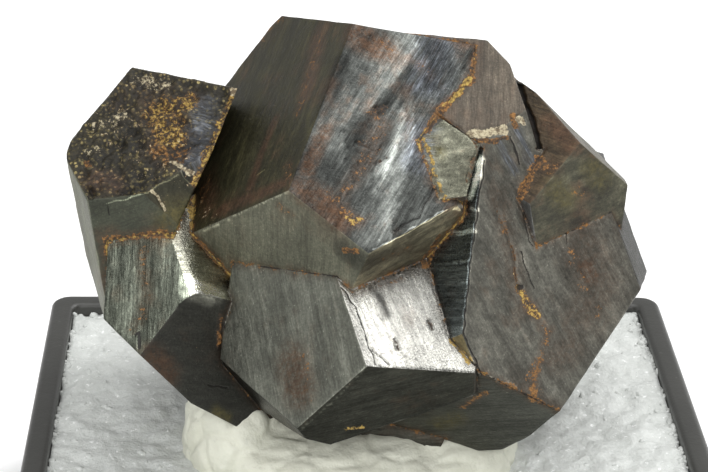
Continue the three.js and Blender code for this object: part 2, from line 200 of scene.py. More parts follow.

# What each kind of mark leaves on the crystals: its share of each deposit and stain, and how far it stands
# up or sinks in, in millimetres. The light share is painted light: above 0 a painted highlight or
# reflection, below 0 painted shade. The dark share is black: painted shade in cracks and grooves,
# together with the dark fill they hold.
MARK_KINDS = {
    "crack": {"dark": 1.0, "relief": -0.06},
    "rusty_crack": {"dark": 0.55, "rust": 0.6, "relief": -0.06},
    "rust": {"rust": 1.0, "relief": 0.03},
    "rust_tint": {"rust": 0.38, "red": 0.5},
    "thin_rust": {"rust": 0.62, "red": 0.7, "relief": 0.02},
    "thin_ochre": {"ochre": 0.62, "rust": 0.75, "red": 0.8, "relief": 0.02},
    "ochre": {"ochre": 0.85, "rust": 0.7, "relief": 0.03},
    "crumbs": {"pale": 0.55},
    "crumbs_thin": {"pale": 0.3, "rust": 0.3},
    "chip": {"pale": 1.0, "relief": -0.05},
    "pit": {"dark": 0.6, "rust": 0.55, "relief": -0.05},
    "red": {"red": 1.0},
    "olive": {"olive": 1.0},
    "blue": {"blue": 1.0},
    # Painted light: bright, glint, sheen, gleam and flash paint highlights and reflections into the colour,
    # dim paints shade
    "bright": {"light": 1.7},
    "glint": {"light": 2.6},
    "sheen": {"light": 1.4},
    "gleam": {"light": 0.8},
    "dim": {"light": -0.5},
    "flash": {"light": 3.5},
    "gold": {"ochre": 1.2, "rust": 1.0, "relief": 0.05},
    "slit": {"dark": 1.3, "relief": -0.25},
    "shade": {"light": -1.0},
    "plum": {"red": 0.45, "light": -0.15},
}

# The marks of each kind: half the width of each, in millimetres, and the places that it runs through
MARKS = {
    # Cracks: thin grooves painted black, painted shade in them together with their dark fill
    "crack": {
        "bright_face_crack": (0.03, (-1.6, -3.3, 19.8), (-1.0, -4.0, 19.2), (-0.7, -4.7, 18.6),
            (-0.4, -5.6, 17.9), (-0.1, -6.2, 17.4)),
        "bright_face_branch": (0.025, (-0.4, -5.6, 17.9), (0.1, -5.8, 17.6), (0.5, -6.0, 17.3)),
        "flank_edge_crack": (0.04, (4.9, -0.5, 24.9), (4.6, -1.4, 23.3), (4.2, -2.8, 20.9),
            (3.9, -4.4, 18.1), (4.5, -4.8, 16.8), (4.7, -4.9, 16.2)),
        "ear_crack": (0.035, (2.6, -1.8, 24.0), (2.3, -2.0, 23.8), (2.0, -2.5, 23.4), (1.8, -2.8, 23.1),
            (0.7, -3.4, 22.7)),
        "flank_top_crack": (0.03, (6.7, -1.1, 22.6), (7.0, -1.6, 21.4), (7.2, -1.6, 21.1)),
        "vein_crack": (0.035, (6.6, -1.9, 21.0), (6.8, -2.2, 20.3), (7.2, -2.5, 19.4)),
        "shoulder_crack": (0.035, (8.8, -0.9, 21.4), (8.8, -1.1, 21.0)),
        "broken_front_crack": (0.03, (-12.4, 1.4, 21.7), (-12.3, 1.4, 21.2)),
        "west_notch": (0.09, (-11.0, -2.8, 17.2), (-10.8, -2.7, 17.2), (-10.8, -3.3, 16.7)),
        "west_dark_line": (0.035, (-7.7, -2.0, 14.1), (-6.8, -1.5, 13.7)),
        "gap_pit": (0.12, (6.5, -2.8, 19.6), (6.6, -2.6, 19.5)),
        "groove_beside_stripe": (0.05, (6.1, 0.4, 25.7), (6.6, -0.1, 24.5)),
    },
    "rusty_crack": {
        "knob_crack": (0.1, (3.1, 0.8, 26.3), (4.0, 0.2, 25.9), (4.5, -0.7, 25.7), (4.3, -1.0, 25.0),
            (4.0, -1.8, 24.4)),
        "vein_top": (0.1, (5.5, -1.4, 22.8), (5.7, -1.6, 22.1), (6.1, -1.8, 21.6), (6.3, -2.2, 20.6),
            (6.5, -2.8, 19.4)),
    },
    "rust": {
        "cap_chip_rim": (0.14, (4.4, -0.1, 25.7), (5.2, 0.0, 25.6), (5.9, 0.3, 25.7)),
        "gap_chip_rust": (0.2, (6.2, 0.9, 26.5), (6.3, 0.7, 26.1)),
        "gap_rough": (0.26, (7.5, 0.2, 24.6), (7.0, -0.3, 24.0), (6.6, -0.9, 23.3)),
        "cap_seam_rust": (0.2, (4.4, 2.4, 27.7), (3.3, 1.4, 26.9), (2.7, 0.8, 26.5), (2.3, 0.2, 26.1)),
        "step_rust": (0.2, (-1.5, -3.5, 21.8), (-1.0, -3.9, 21.9)),
        "overhang_rust": (0.2, (2.8, -1.5, 21.6), (2.5, -1.1, 20.7), (2.2, -1.3, 19.9)),
        "top_rust_left": (0.17, (-13.5, 3.4, 23.1), (-13.4, 3.1, 23.0)),
    },
    "rust_tint": {
        "vein_middle": (0.3, (7.3, -3.0, 18.3), (7.9, -3.2, 17.5), (7.7, -3.5, 17.1), (7.5, -4.0, 16.4)),
        "flank_spot_high": (0.4, (9.0, -1.2, 20.6), (9.0, -1.4, 20.2)),
        "flank_spot_middle": (0.45, (9.4, -1.6, 19.6), (9.6, -1.8, 19.1)),
        "flank_spot_low": (0.3, (10.3, -2.0, 18.2), (10.3, -2.2, 17.7)),
        "gap_rough_right": (0.4, (7.7, -0.1, 24.5), (8.1, -0.5, 24.4)),
        "red_slope_rust": (0.2, (7.6, 1.2, 26.2), (8.2, 0.4, 25.5)),
        "shoulder_spot": (0.4, (9.2, -0.3, 23.4), (9.6, -0.2, 23.0)),
        "slope_speckles": (0.4, (-0.2, 0.9, 26.8), (0.3, 0.4, 26.2), (-0.1, -0.3, 25.7), (-0.8, -1.3, 24.7),
            (-1.5, -2.1, 24.1)),
        "slope_red_streak": (0.3, (0.4, 3.6, 29.2), (0.7, 3.0, 28.6)),
        "slope_rust_foot": (0.35, (-2.2, -2.2, 23.9), (-1.2, -3.1, 23.1)),
        "slope_brown_by_cap": (0.3, (2.1, 2.8, 28.3), (2.5, 2.4, 27.9)),
        "lens_tint": (0.3, (-4.4, -1.8, 23.1), (-3.9, -2.1, 22.9)),
        "left_slope_red_foot": (0.35, (-4.1, -0.6, 24.7), (-4.1, -1.7, 24.4)),
        "left_slope_streak": (0.35, (-2.5, 5.7, 28.6), (-2.9, 4.6, 27.8), (-3.2, 3.4, 27.0),
            (-3.6, 2.2, 26.2)),
        "left_slope_foot": (0.7, (-7.8, 4.5, 21.9), (-8.2, 3.1, 21.0)),
        "overhang_brown": (0.3, (0.3, -3.2, 21.2), (1.6, -2.6, 21.2)),
        "keel_rust": (0.35, (-3.3, -4.2, 17.0), (-3.2, -4.9, 16.2), (-3.1, -5.7, 15.4)),
        "bright_face_rust": (0.16, (0.1, -2.9, 19.7), (0.6, -2.6, 19.8), (1.2, -2.2, 19.8)),
        "west_rust": (0.3, (-10.7, 0.6, 19.9), (-10.8, -0.2, 19.3), (-10.5, -1.3, 18.5), (-10.7, -2.0, 17.8),
            (-11.0, -2.5, 17.3)),
    },
    "thin_rust": {
        "vein_foot": (0.34, (7.5, -4.0, 16.4), (7.1, -4.4, 15.8), (7.2, -4.7, 15.0)),
        "vein_knot": (0.26, (5.7, -1.5, 22.2), (5.8, -1.7, 21.9)),
        "underside_rust": (0.2, (4.0, -3.6, 13.8), (4.5, -4.0, 14.4), (5.0, -4.4, 15.0)),
        "keel_seam": (0.16, (-7.1, -0.9, 17.3), (-7.2, -1.2, 16.5), (-7.2, -1.3, 15.8)),
        "top_orange": (0.9, (-9.9, 3.3, 23.9), (-9.3, 3.0, 23.7)),
    },
    "thin_ochre": {
        "vein_crumbs": (0.3, (6.4, -2.6, 19.5), (6.8, -2.9, 18.9), (7.3, -3.0, 18.3)),
        "slope_orange_blob": (0.26, (-1.3, -3.1, 23.1), (-0.9, -3.2, 23.1)),
        "top_right_rust": (0.26, (-6.5, 5.4, 26.0), (-6.9, 4.4, 25.3), (-7.4, 3.3, 24.5), (-7.9, 2.4, 23.5),
            (-8.3, 1.9, 22.6)),
        "top_ochre": (1.0, (-10.1, 5.1, 25.0), (-9.7, 4.4, 24.7), (-9.6, 3.8, 24.3)),
        "top_ochre_right": (0.6, (-9.1, 5.2, 25.3), (-8.6, 5.3, 25.5)),
    },
    "ochre": {
        "yellow_wedge": (0.22, (3.4, -4.2, 17.5), (3.7, -4.4, 17.3), (4.1, -4.9, 16.9)),
        "corner_by_broken": (0.2, (-8.7, 3.3, 20.9), (-8.5, 2.9, 20.6), (-8.6, 2.4, 20.4)),
        "prow_gold": (0.11, (-1.4, -5.8, 13.9), (-0.6, -5.6, 13.9)),
    },
    "crumbs": {
        "top_pale_back": (0.5, (-11.2, 6.9, 25.9), (-10.5, 6.6, 25.9), (-9.9, 6.3, 25.8)),
        "top_pale_left": (0.45, (-13.1, 4.9, 24.2), (-12.5, 5.0, 24.4), (-11.9, 5.2, 24.7)),
        "top_pale_low": (0.3, (-13.5, 3.8, 23.4), (-12.9, 4.0, 23.6)),
    },
    "crumbs_thin": {
        "left_slope_crumbs": (0.5, (-8.2, 3.4, 21.1), (-7.9, 2.0, 21.0), (-7.4, 1.2, 21.2)),
        "top_all": (3.2, (-12.0, 4.5, 24.2), (-9.8, 3.2, 23.8)),
    },
    "chip": {
        "cap_chip": (0.24, (4.2, 0.2, 25.9), (4.7, 0.2, 25.9), (5.2, 0.2, 26.0), (5.8, 0.4, 26.0)),
        "gap_chip": (0.16, (6.5, 0.8, 26.4), (6.7, 0.9, 26.2)),
        "top_corner_pale": (0.18, (-6.5, 5.6, 26.1), (-6.6, 5.2, 25.9)),
        "top_beige_loop": (0.16, (-9.4, 2.6, 23.4), (-8.9, 2.1, 23.3), (-8.5, 2.1, 23.1)),
        "facet_chip": (0.09, (-10.3, 1.4, 22.5), (-10.0, 1.3, 22.2), (-9.7, 1.2, 21.6)),
    },
    "pit": {
        "slope_pit_high": (0.12, (-0.0, 1.0, 26.8), (0.5, 1.2, 26.9), (0.1, 0.7, 26.6)),
        "slope_pit_low": (0.12, (0.4, -0.8, 25.1), (-0.1, -1.1, 24.9)),
        "slope_pit_left": (0.14, (-0.9, -0.3, 25.6), (-0.5, -0.4, 25.4)),
        "bright_face_pit": (0.12, (0.8, -4.9, 17.9), (0.9, -5.2, 17.7)),
        "bright_face_pit_right": (0.11, (2.4, -3.7, 18.3), (2.5, -3.9, 18.1)),
    },
    "red": {
        "flank_red": (0.5, (6.0, -3.9, 15.9), (6.4, -3.8, 15.7)),
        "flank_red_high": (0.6, (9.8, -1.4, 19.9), (9.9, -1.5, 19.5)),
        "red_slope_streak": (0.45, (8.0, 1.5, 26.0), (8.5, 0.8, 25.6), (8.9, 0.2, 25.3)),
        "slope_red_top": (0.7, (-0.9, 3.7, 29.4), (-0.3, 3.4, 29.1), (0.4, 3.2, 28.8)),
        "slope_pink_streak": (0.35, (-2.4, -0.0, 26.1), (-2.8, -0.8, 25.5), (-3.2, -1.5, 24.8)),
        "slope_red_foot": (0.6, (-3.4, -2.1, 24.2), (-2.5, -2.5, 23.8), (-1.7, -3.2, 23.1)),
        "lens_edge_brown": (0.35, (-7.4, 1.4, 21.4), (-5.8, -0.2, 22.9), (-4.2, -1.7, 24.4)),
        "left_slope_red": (0.6, (-2.6, 5.8, 28.5), (-2.7, 5.0, 28.1), (-3.0, 3.7, 27.4), (-3.2, 2.9, 26.8)),
        "left_slope_streak_low": (0.3, (-4.6, 3.3, 25.3), (-5.2, 2.2, 24.2), (-5.8, 0.7, 23.1)),
        "left_slope_brown": (0.7, (-7.9, 3.7, 21.5), (-7.7, 2.4, 21.3)),
        "keel_red": (0.9, (-4.0, -4.3, 16.6), (-3.5, -5.1, 15.6)),
        "west_dark_red": (0.7, (-10.2, -3.3, 16.1), (-9.6, -3.1, 15.3)),
        "top_red_low": (0.6, (-13.0, 2.4, 22.7), (-12.2, 2.2, 22.5)),
    },
    "olive": {
        "underside_olive": (0.5, (3.1, -2.7, 12.4), (3.6, -2.9, 12.7), (3.9, -3.1, 13.0)),
        "shoulder_olive": (0.6, (9.9, 0.2, 24.2), (10.3, 0.3, 23.7)),
        "shoulder_olive_left": (0.6, (8.2, -0.7, 23.5), (8.7, -0.6, 23.0)),
        "knob_olive": (0.4, (2.4, -0.3, 25.5), (2.7, -0.6, 25.3)),
        "west_foot_olive": (0.3, (-7.4, -2.1, 12.8), (-6.9, -1.8, 12.2)),
        "facet_smear": (0.7, (-9.5, 1.0, 21.0), (-9.1, 1.2, 21.5)),
    },
    "blue": {
        "slope_blue_top": (0.9, (2.8, 3.5, 28.8), (2.4, 2.2, 27.7)),
        "slope_blue_low": (0.7, (2.1, 0.2, 25.9), (1.8, -0.8, 25.0)),
        "blue_stripe": (0.22, (5.6, 0.1, 25.5), (5.9, -0.1, 24.9), (6.3, -0.3, 24.3)),
        "blue_stripe_right": (0.22, (6.4, 0.6, 25.9), (6.9, 0.2, 24.9), (7.2, 0.0, 24.4)),
        "top_blue": (0.6, (-7.9, 5.0, 25.3), (-8.1, 3.8, 24.6), (-8.4, 2.8, 23.9), (-8.5, 2.2, 23.6)),
    },
    # Painted highlights: light lines along edges and the glint on the west crystal's rounded ridge
    "bright": {
        "flank_foot_edge": (0.05, (4.2, -4.8, 17.1), (4.5, -4.9, 16.4), (5.5, -4.9, 15.9),
            (6.4, -4.8, 15.5)),
        "lens_edge": (0.03, (-8.0, 1.4, 20.4), (-5.9, -0.6, 22.4), (-4.0, -2.3, 24.1)),
        "prow_edge": (0.03, (-3.4, -6.1, 14.1), (-1.9, -6.2, 15.7), (-0.6, -6.3, 17.4)),
        "west_strip": (0.3, (-8.7, -1.5, 18.5), (-8.2, -1.5, 18.4), (-7.5, -1.2, 18.0)),
        "west_ridge": (0.5, (-8.6, -1.0, 19.0), (-8.0, -1.0, 18.7), (-7.2, -0.7, 18.1)),
        "narrow_band_foot": (0.07, (3.4, -2.2, 20.5), (3.9, -2.5, 20.7), (4.1, -2.8, 20.9)),
    },
    # Painted glints: thin bright lines along edges and bright streaks
    "glint": {
        "slope_edge": (0.035, (-0.3, -4.2, 22.1), (1.4, -3.2, 22.6), (3.1, -2.4, 23.3)),
        "left_slope_scratch": (0.03, (-5.5, 0.9, 23.5), (-5.1, 0.7, 23.9)),
        "narrow_band_high": (0.13, (3.3, -2.0, 23.3), (3.9, -1.4, 23.0), (4.5, -1.5, 22.9)),
        "narrow_band_low": (0.14, (3.3, -1.1, 21.6), (3.8, -1.7, 21.8), (4.4, -2.1, 22.1)),
        "facet_line": (0.03, (-9.0, 2.0, 23.2), (-8.8, 1.9, 22.9), (-8.5, 1.8, 22.5)),
        "broken_rim": (0.035, (-12.5, 1.4, 21.8), (-11.4, 1.3, 22.1), (-10.4, 1.4, 22.5), (-9.1, 1.9, 23.1)),
    },
    # Painted reflections of the lamps on the crown's front slope
    "sheen": {
        "slope_sheen_high": (1.5, (1.9, 3.5, 29.0), (1.0, 2.3, 27.9), (-0.3, 1.0, 26.9), (-1.5, 0.1, 26.1)),
        "slope_sheen_low": (1.5, (1.7, 0.3, 26.0), (1.5, -0.7, 25.1), (1.1, -1.6, 24.3), (0.6, -3.0, 23.1)),
        "slope_sheen_middle": (0.35, (1.3, 0.9, 26.6), (0.9, -0.3, 25.5), (0.4, -1.2, 24.7)),
    },
    # Painted highlight down the left of the keel's bright face
    "gleam": {
        "bright_face_gleam": (0.8, (-0.9, -3.3, 19.6), (-0.3, -4.2, 18.7), (0.3, -5.2, 17.9),
            (0.7, -5.7, 17.5)),
    },
    # Painted shade on the right of the keel's bright face
    "dim": {
        "bright_face_dim": (0.6, (2.4, -1.6, 19.8), (2.8, -2.4, 19.1), (3.0, -3.4, 18.3)),
    },
    # Painted highlight: a bright strip on the flank's narrow left face
    "flash": {
        "narrow_strip": (0.26, (4.7, -0.5, 24.9), (4.5, -0.8, 24.3), (4.2, -1.1, 23.4)),
    },
    "gold": {
        "cap_seam_gold": (0.13, (4.3, 2.4, 27.8), (4.0, 2.0, 27.4), (3.4, 1.5, 26.9)),
        "knob_seam_gold": (0.07, (2.1, -0.0, 25.8), (2.5, -1.0, 24.8), (3.0, -2.1, 23.7)),
    },
    # A deep groove painted black: painted shade in the gap between the cap and the shoulder
    "slit": {
        "slit": (0.14, (6.65, 3.8, 27.1), (6.9, 2.9, 26.5), (7.2, 2.0, 25.9), (7.45, 0.7, 25.0)),
    },
    "shade": {
        "slope_dark_streak": (0.25, (1.6, 2.5, 28.1), (0.9, 1.7, 27.3), (0.1, 0.9, 26.7),
            (-0.9, -0.2, 25.7)),
        "slope_dark_top": (0.6, (2.6, 3.5, 28.8), (3.1, 3.0, 28.3), (2.6, 2.2, 27.7)),
        "slope_dark_left": (0.5, (-1.7, 2.6, 28.5), (-2.2, 1.3, 27.3), (-2.7, 0.3, 26.5)),
        "overhang_dark": (0.7, (-1.5, -3.5, 21.7), (-0.6, -4.0, 21.4), (0.3, -3.3, 21.4)),
        "bright_face_streak": (0.3, (0.2, -3.4, 19.4), (0.4, -4.2, 18.9)),
        "bright_face_dark_top": (0.18, (-0.2, -3.0, 19.6), (0.2, -3.3, 19.2), (0.5, -3.9, 18.8)),
        "bright_face_arc": (0.03, (1.2, -5.4, 17.5), (1.5, -5.5, 17.3), (1.9, -5.3, 17.3)),
        "purple_facet": (0.3, (-8.7, 2.0, 23.1), (-8.4, 1.9, 22.7)),
    },
    "plum": {
        "flank_plum": (1.3, (9.6, -0.9, 20.8), (10.4, -1.4, 19.3), (9.9, -2.2, 18.1)),
        "flank_plum_low": (0.8, (9.0, -3.2, 16.7), (8.2, -3.6, 16.4)),
        "flank_olive_band": (0.5, (5.5, -1.1, 23.4), (5.8, -1.6, 22.2), (6.2, -2.3, 20.6),
            (6.5, -2.8, 19.4)),
    },
}

ALL_MARKS = [(kind, width, line) for kind, group in MARKS.items() for width, *line in group.values()]
CLEAR_CUT = ("bright", "shade", "crack", "glint", "flash")

# What fills the line where two crystals meet: shares of rust, ochre and dark, and its half width in
# millimetres. Dark sinks a groove along the seam and paints it black: painted shade together with the dark
# fill.
DEFAULT_SEAM = (0.65, 0.35, 0.8, 0.16)
SEAMS = {
    ("broken", "crown"): (0.85, 0.5, 0.5, 0.26),
    ("broken", "west"): (0.8, 1.15, 0.4, 0.26),
    ("crown", "west"): (0.85, 1.25, 0.4, 0.2),
    ("keel", "west"): (0.45, 0.3, 1.1, 0.14),
    ("crown", "keel"): (0.58, 0.12, 1.0, 0.17),
    ("cap", "crown"): (0.8, 0.5, 0.5, 0.15),
    ("crown", "knob"): (0.7, 0.75, 0.5, 0.11),
    ("crown", "flank"): (0.85, 0.95, 0.6, 0.24),
    ("flank", "keel"): (0.45, 0.3, 1.1, 0.12),
    ("flank", "shoulder"): (0.6, 0.35, 0.7, 0.12),
    ("cap", "shoulder"): (0.5, 0.2, 1.1, 0.14),
    ("cap", "knob"): (0.3, 0.2, 1.0, 0.08),
    ("flank", "knob"): (0.3, 0.2, 1.0, 0.08),
}


def direction(heading, rise):
    turn, lift = math.radians(heading), math.radians(rise)
    return Vector((
        math.sin(turn) * math.cos(lift),
        -math.cos(turn) * math.cos(lift),
        math.sin(lift),
    ))


def planes_of(middle, faces):
    """Name, normal and distance from the origin of each face."""
    planes = []
    for name, (heading, rise, reach) in faces.items():
        normal = direction(heading, rise)
        planes.append((name, normal, normal.dot(Vector(middle)) + reach))
    return planes


def rear_planes(middle, turn, reach):
    """The twelve faces of a whole pyritohedron, turned and placed."""
    heading, rise, roll = (math.radians(angle) for angle in turn)
    pose = Matrix.Rotation(heading, 3, "Z") @ Matrix.Rotation(rise, 3, "X") @ Matrix.Rotation(roll, 3, "Y")
    planes = []
    for near in (1, -1):
        for far in (2, -2):
            for axes in ((near, far, 0), (0, near, far), (far, 0, near)):
                normal = pose @ Vector(axes).normalized()
                planes.append(("rear", normal, normal.dot(Vector(middle)) + reach))
    return planes


ALL_PLANES = [
    (f"{name}.{face}", normal, distance)
    for name, crystal in CRYSTALS.items()
    for face, normal, distance in planes_of(*crystal)
] + [plane for crystal in REAR_CRYSTALS for plane in rear_planes(*crystal)]
ALL_NAMES = np.array([name for name, _, _ in ALL_PLANES])


# Meshes
def cut_crystal(middle, planes, rounded=()):
    """A closed convex crystal, cut from a block by its planes, with some of its ridges rounded."""
    bm = bmesh.new()
    bmesh.ops.create_cube(bm, size=BLOCK, matrix=Matrix.Translation(middle))
    for _, normal, distance in planes:
        rim = cut_off(bm, normal * distance, normal)
        if len(rim) > 2:
            bmesh.ops.contextual_create(bm, geom=rim)
    bmesh.ops.remove_doubles(bm, verts=bm.verts, dist=DOUBLES)
    for one, other, width in rounded:
        ways = [normal for name, normal, _ in planes if name in (one, other)]
        ridge = [
            rim for rim in bm.edges
            if all(any(face.normal.dot(way) > SAME_WAY for face in rim.link_faces) for way in ways)
        ]
        bmesh.ops.bevel(
            bm, geom=ridge, offset=width, segments=RIDGE_STEPS, profile=0.5, affect="EDGES", material=-1
        )
    bmesh.ops.recalc_face_normals(bm, faces=bm.faces)
    return bm


def cut_off(bm, place, normal):
    """Takes away what lies beyond a plane and returns the rim of the hole."""
    everything = bm.verts[:] + bm.edges[:] + bm.faces[:]
    cut = bmesh.ops.bisect_plane(
        bm, geom=everything, dist=ON_PLANE, plane_co=place, plane_no=normal, clear_outer=True
    )
    return [part for part in cut["geom_cut"] if isinstance(part, bmesh.types.BMEdge)]


def to_object(bm, name):
    mesh = bpy.data.meshes.new(name)
    bm.to_mesh(mesh)
    bm.free()
    piece = bpy.data.objects.new(name, mesh)
    bpy.context.scene.collection.objects.link(piece)
    return piece


def evaluated(piece):
    """The piece's mesh with its modifiers applied."""
    graph = bpy.context.evaluated_depsgraph_get()
    return bpy.data.meshes.new_from_object(piece.evaluated_get(graph))


def joined(pieces, name):
    """One closed mesh from overlapping solids."""
    first, rest = pieces[0], pieces[1:]
    group = bpy.data.collections.new(name + "_parts")
    for piece in rest:
        group.objects.link(piece)
    union = first.modifiers.new("union", "BOOLEAN")
    union.operation = "UNION"
    union.operand_type = "COLLECTION"
    union.solver = "EXACT"
    union.collection = group
    mesh = evaluated(first)
    for piece in pieces:
        bpy.data.objects.remove(piece)
    bpy.data.collections.remove(group)
    return mesh


def read(parts, field, width, kind=np.float32):
    """One field of all of a mesh's parts."""
    values = np.zeros(width * len(parts), kind)
    parts.foreach_get(field, values)
    return values.reshape(-1, width).astype(float) if width > 1 else values


def place_points(mesh, points):
    """Moves a mesh's points, given in millimetres."""
    mesh.vertices.foreach_set("co", (points * MM).astype(np.float32).ravel())
    mesh.update()


def nearest_plane(centres, normals):
    """For each face of a mesh, the index of the crystal face that it lies on."""
    ways = np.array([normal[:] for _, normal, _ in ALL_PLANES])
    reaches = np.array([distance for _, _, distance in ALL_PLANES])
    lean = 1 - normals @ ways.T
    off = np.abs(centres @ ways.T - reaches)
    return (LEAN_WEIGHT * lean + off).argmin(axis=1)


def refine(bm, wanted, passes):
    """Splits triangles at their longest edge until none has an edge longer than is wanted there."""
    sizes = np.zeros(0)
    for _ in range(passes):
        bm.verts.index_update()
        bm.edges.index_update()
        points = np.array([vertex.co[:] for vertex in bm.verts])
        sizes = np.concatenate([sizes, wanted(points[len(sizes):])])
        ends = np.array([(rim.verts[0].index, rim.verts[1].index) for rim in bm.edges])
        sides = np.array([[loop.edge.index for loop in face.loops] for face in bm.faces])
        lengths = np.linalg.norm(points[ends[:, 0]] - points[ends[:, 1]], axis=1)
        chosen = lengths > sizes[ends].min(axis=1)
        if not chosen.any():
            break
        longest = sides[np.arange(len(sides)), lengths[sides].argmax(axis=1)]
        for _ in range(REFINE_CHAIN):
            chosen[longest[chosen[sides].any(axis=1)]] = True
        ready = np.bincount(longest, minlength=len(lengths)) == 2
        bm.edges.ensure_lookup_table()
        split = [bm.edges[index] for index in np.flatnonzero(chosen & ready)]
        bmesh.ops.bisect_edges(bm, edges=split, cuts=1)
        wide = [face for face in bm.faces if len(face.verts) > 3]
        bmesh.ops.triangulate(bm, faces=wide, quad_method="SHORT_EDGE")


# How far from a mark distances are measured, what stands for farther away, and how much of the way off the
# surface is left out, in millimetres
FAR = 2.0
BEYOND = 9.0
LEEWAY = 0.15


def distance_to_line(points, line, normals=None):
    """Distance from each point to a broken line, or a large number for the points that are far from it.

    With the surface's normals given, a line that runs just above or below the surface counts as lying on it.
    """
    spots = np.array(line)
    near = np.all((points > spots.min(axis=0) - FAR) & (points < spots.max(axis=0) + FAR), axis=1)
    close = points[near]
    nearest = np.full(len(close), BEYOND)
    for start, end in zip(spots[:-1], spots[1:]):
        way = end - start
        share = np.clip(((close - start) @ way) / (way @ way), 0, 1)
        offset = close - start - share[:, None] * way
        if normals is not None:
            above = (offset * normals[near]).sum(axis=1, keepdims=True)
            offset = offset - np.clip(above, -LEEWAY, LEEWAY) * normals[near]
        nearest = np.minimum(nearest, np.linalg.norm(offset, axis=1))
    distance = np.full(len(points), BEYOND)
    distance[near] = nearest
    return distance


def left_of_line(points, line):
    """Whether each point is to the left of a line that runs downwards, as seen from the front."""
    spots = np.array(line)[::-1]
    return points[:, 0] < np.interp(points[:, 2], spots[:, 2], spots[:, 0])


def soft_step(values, low, high):
    share = np.clip((values - low) / (high - low), 0, 1)
    return share * share * (3 - 2 * share)


def rough(points, scale, octaves=3):
    """Layered noise at each point, about -1 to 1."""
    return np.array([noise.fractal(Vector(point) * scale, 0.8, 2.0, octaves) for point in points])


def crumbs(points, scale):
    """Rounded grains packed side by side: 1 at a grain's middle, less towards its rim."""
    return np.array([1 - noise.voronoi(Vector(point) * scale)[0][0] * 1.6 for point in points])


# Shader maths
class Flow:
    """A value on its way through a material's nodes, so that shader maths reads as plain arithmetic."""

    def __init__(self, finish, socket):
        self.finish = finish
        self.socket = socket

    def maths(self, operation, *values):
        return self.finish.add("ShaderNodeMath", {"operation": operation}, dict(enumerate(values)))

    def __add__(self, other):
        return self.maths("ADD", self, other)

    def __radd__(self, other):
        return self.maths("ADD", other, self)

    def __sub__(self, other):
        return self.maths("SUBTRACT", self, other)

    def __rsub__(self, other):
        return self.maths("SUBTRACT", other, self)

    def __mul__(self, other):
        return self.maths("MULTIPLY", self, other)

    def __rmul__(self, other):
        return self.maths("MULTIPLY", other, self)

    def __rpow__(self, other):
        return self.maths("POWER", other, self)

    def clamped(self):
        return self.finish.add("ShaderNodeClamp", {}, {"Value": self})

    def between(self, low, high):
        """0 below low, 1 above high, with a soft step in between."""
        sockets = {"Value": self, "From Min": low, "From Max": high}
        return self.finish.add("ShaderNodeMapRange", {"interpolation_type": "SMOOTHSTEP"}, sockets)


class Finish:
    """A material and the nodes that make it."""

    def __init__(self, name):
        self.material = bpy.data.materials.new(name)
        self.material.use_nodes = True
        self.tree = self.material.node_tree
        self.tree.nodes.clear()

    def add(self, kind, settings, sockets, out=0):
        node = self.tree.nodes.new(kind)
        for name, value in settings.items():
            setattr(node, name, value)
        for name, value in sockets.items():
            if isinstance(value, Flow):
                self.tree.links.new(value.socket, node.inputs[name])
            else:
                node.inputs[name].default_value = value
        return Flow(self, node.outputs[out]) if node.outputs else None

    def place(self):
        """Where a point is on the object, in millimetres."""
        metres = self.add("ShaderNodeTexCoord", {}, {}, out="Object")
        return self.stretched(metres, (1 / MM, 1 / MM, 1 / MM))

    def stretched(self, vector, factors):
        return self.add("ShaderNodeVectorMath", {"operation": "MULTIPLY"}, {0: vector, 1: factors})

    def noise(self, where, scale, detail, roughness=0.55):
        sockets = {"Vector": where, "Scale": scale, "Detail": detail, "Roughness": roughness}
        return self.add("ShaderNodeTexNoise", {}, sockets)

    def cells(self, where, scale):
        return self.add("ShaderNodeTexVoronoi", {}, {"Vector": where, "Scale": scale})

    def mixed(self, factor, one, other):
        sockets = {0: factor, 6: self.colour(one), 7: self.colour(other)}
        return self.add("ShaderNodeMix", {"data_type": "RGBA"}, sockets, out=2)

    @staticmethod
    def colour(value):
        return value if isinstance(value, Flow) else (*value, 1)

    def scaled(self, colour, factor):
        """A colour made darker or lighter."""
        return self.add("ShaderNodeVectorMath", {"operation": "SCALE"}, {0: colour, "Scale": factor})

    def attribute(self, name):
        """A mesh attribute as a colour, and its three channels and its alpha."""
        node = self.add("ShaderNodeAttribute", {"attribute_name": name}, {}, out="Color")
        alpha = Flow(self, node.socket.node.outputs["Alpha"])
        split = self.add("ShaderNodeSeparateColor", {}, {0: node})
        channels = [Flow(self, output) for output in split.socket.node.outputs]
        return node, [*channels, alpha]

    def bump(self, height_mm):
        return self.add("ShaderNodeBump", {}, {"Distance": MM, "Height": height_mm})

    def shade(self, sockets):
        shader = self.add("ShaderNodeBsdfPrincipled", {}, sockets)
        self.add("ShaderNodeOutputMaterial", {}, {"Surface": shader})
        return self.material


# How the crystals are joined, in millimetres
RIDGE_WIDTH = 0.7
SLIVER = 0.05
UNION_DOUBLES = 0.004
UNION_SLIVERS = 0.003

# The longest edges of their triangles, in millimetres: at a ridge or seam and away from it, in front and at
# the rear, at a mark and at a sharp one, and how fast they grow with the distance
FRONT_UNTIL = 4.5
FRONT_TRIANGLES = (0.14, 0.6)
REAR_TRIANGLES = (0.25, 0.9)
MARK_TRIANGLE = 0.2
MARK_MARGIN = 0.08
SHARP_TRIANGLE = 0.07
SHARP_DEPTH = -0.03
GROWTH = 0.8
REFINE_PASSES = 26

# Where two faces meet: from which bend on they make a seam or an edge, and the steps along it
SEAM_BEND = math.radians(3)
EDGE_BEND = math.radians(15)
SEAM_STEP = 0.1

# How far marks stray, and between which shares of their half width they fade out
MARK_STRAY = 0.09
CLEAR_RIM = (0.5, 1.15)
SOFT_RIM = (0.2, 1.6)
SHEEN_RIM = 0.12
REAR_FROM = 8.5
REAR_BLEND = 3

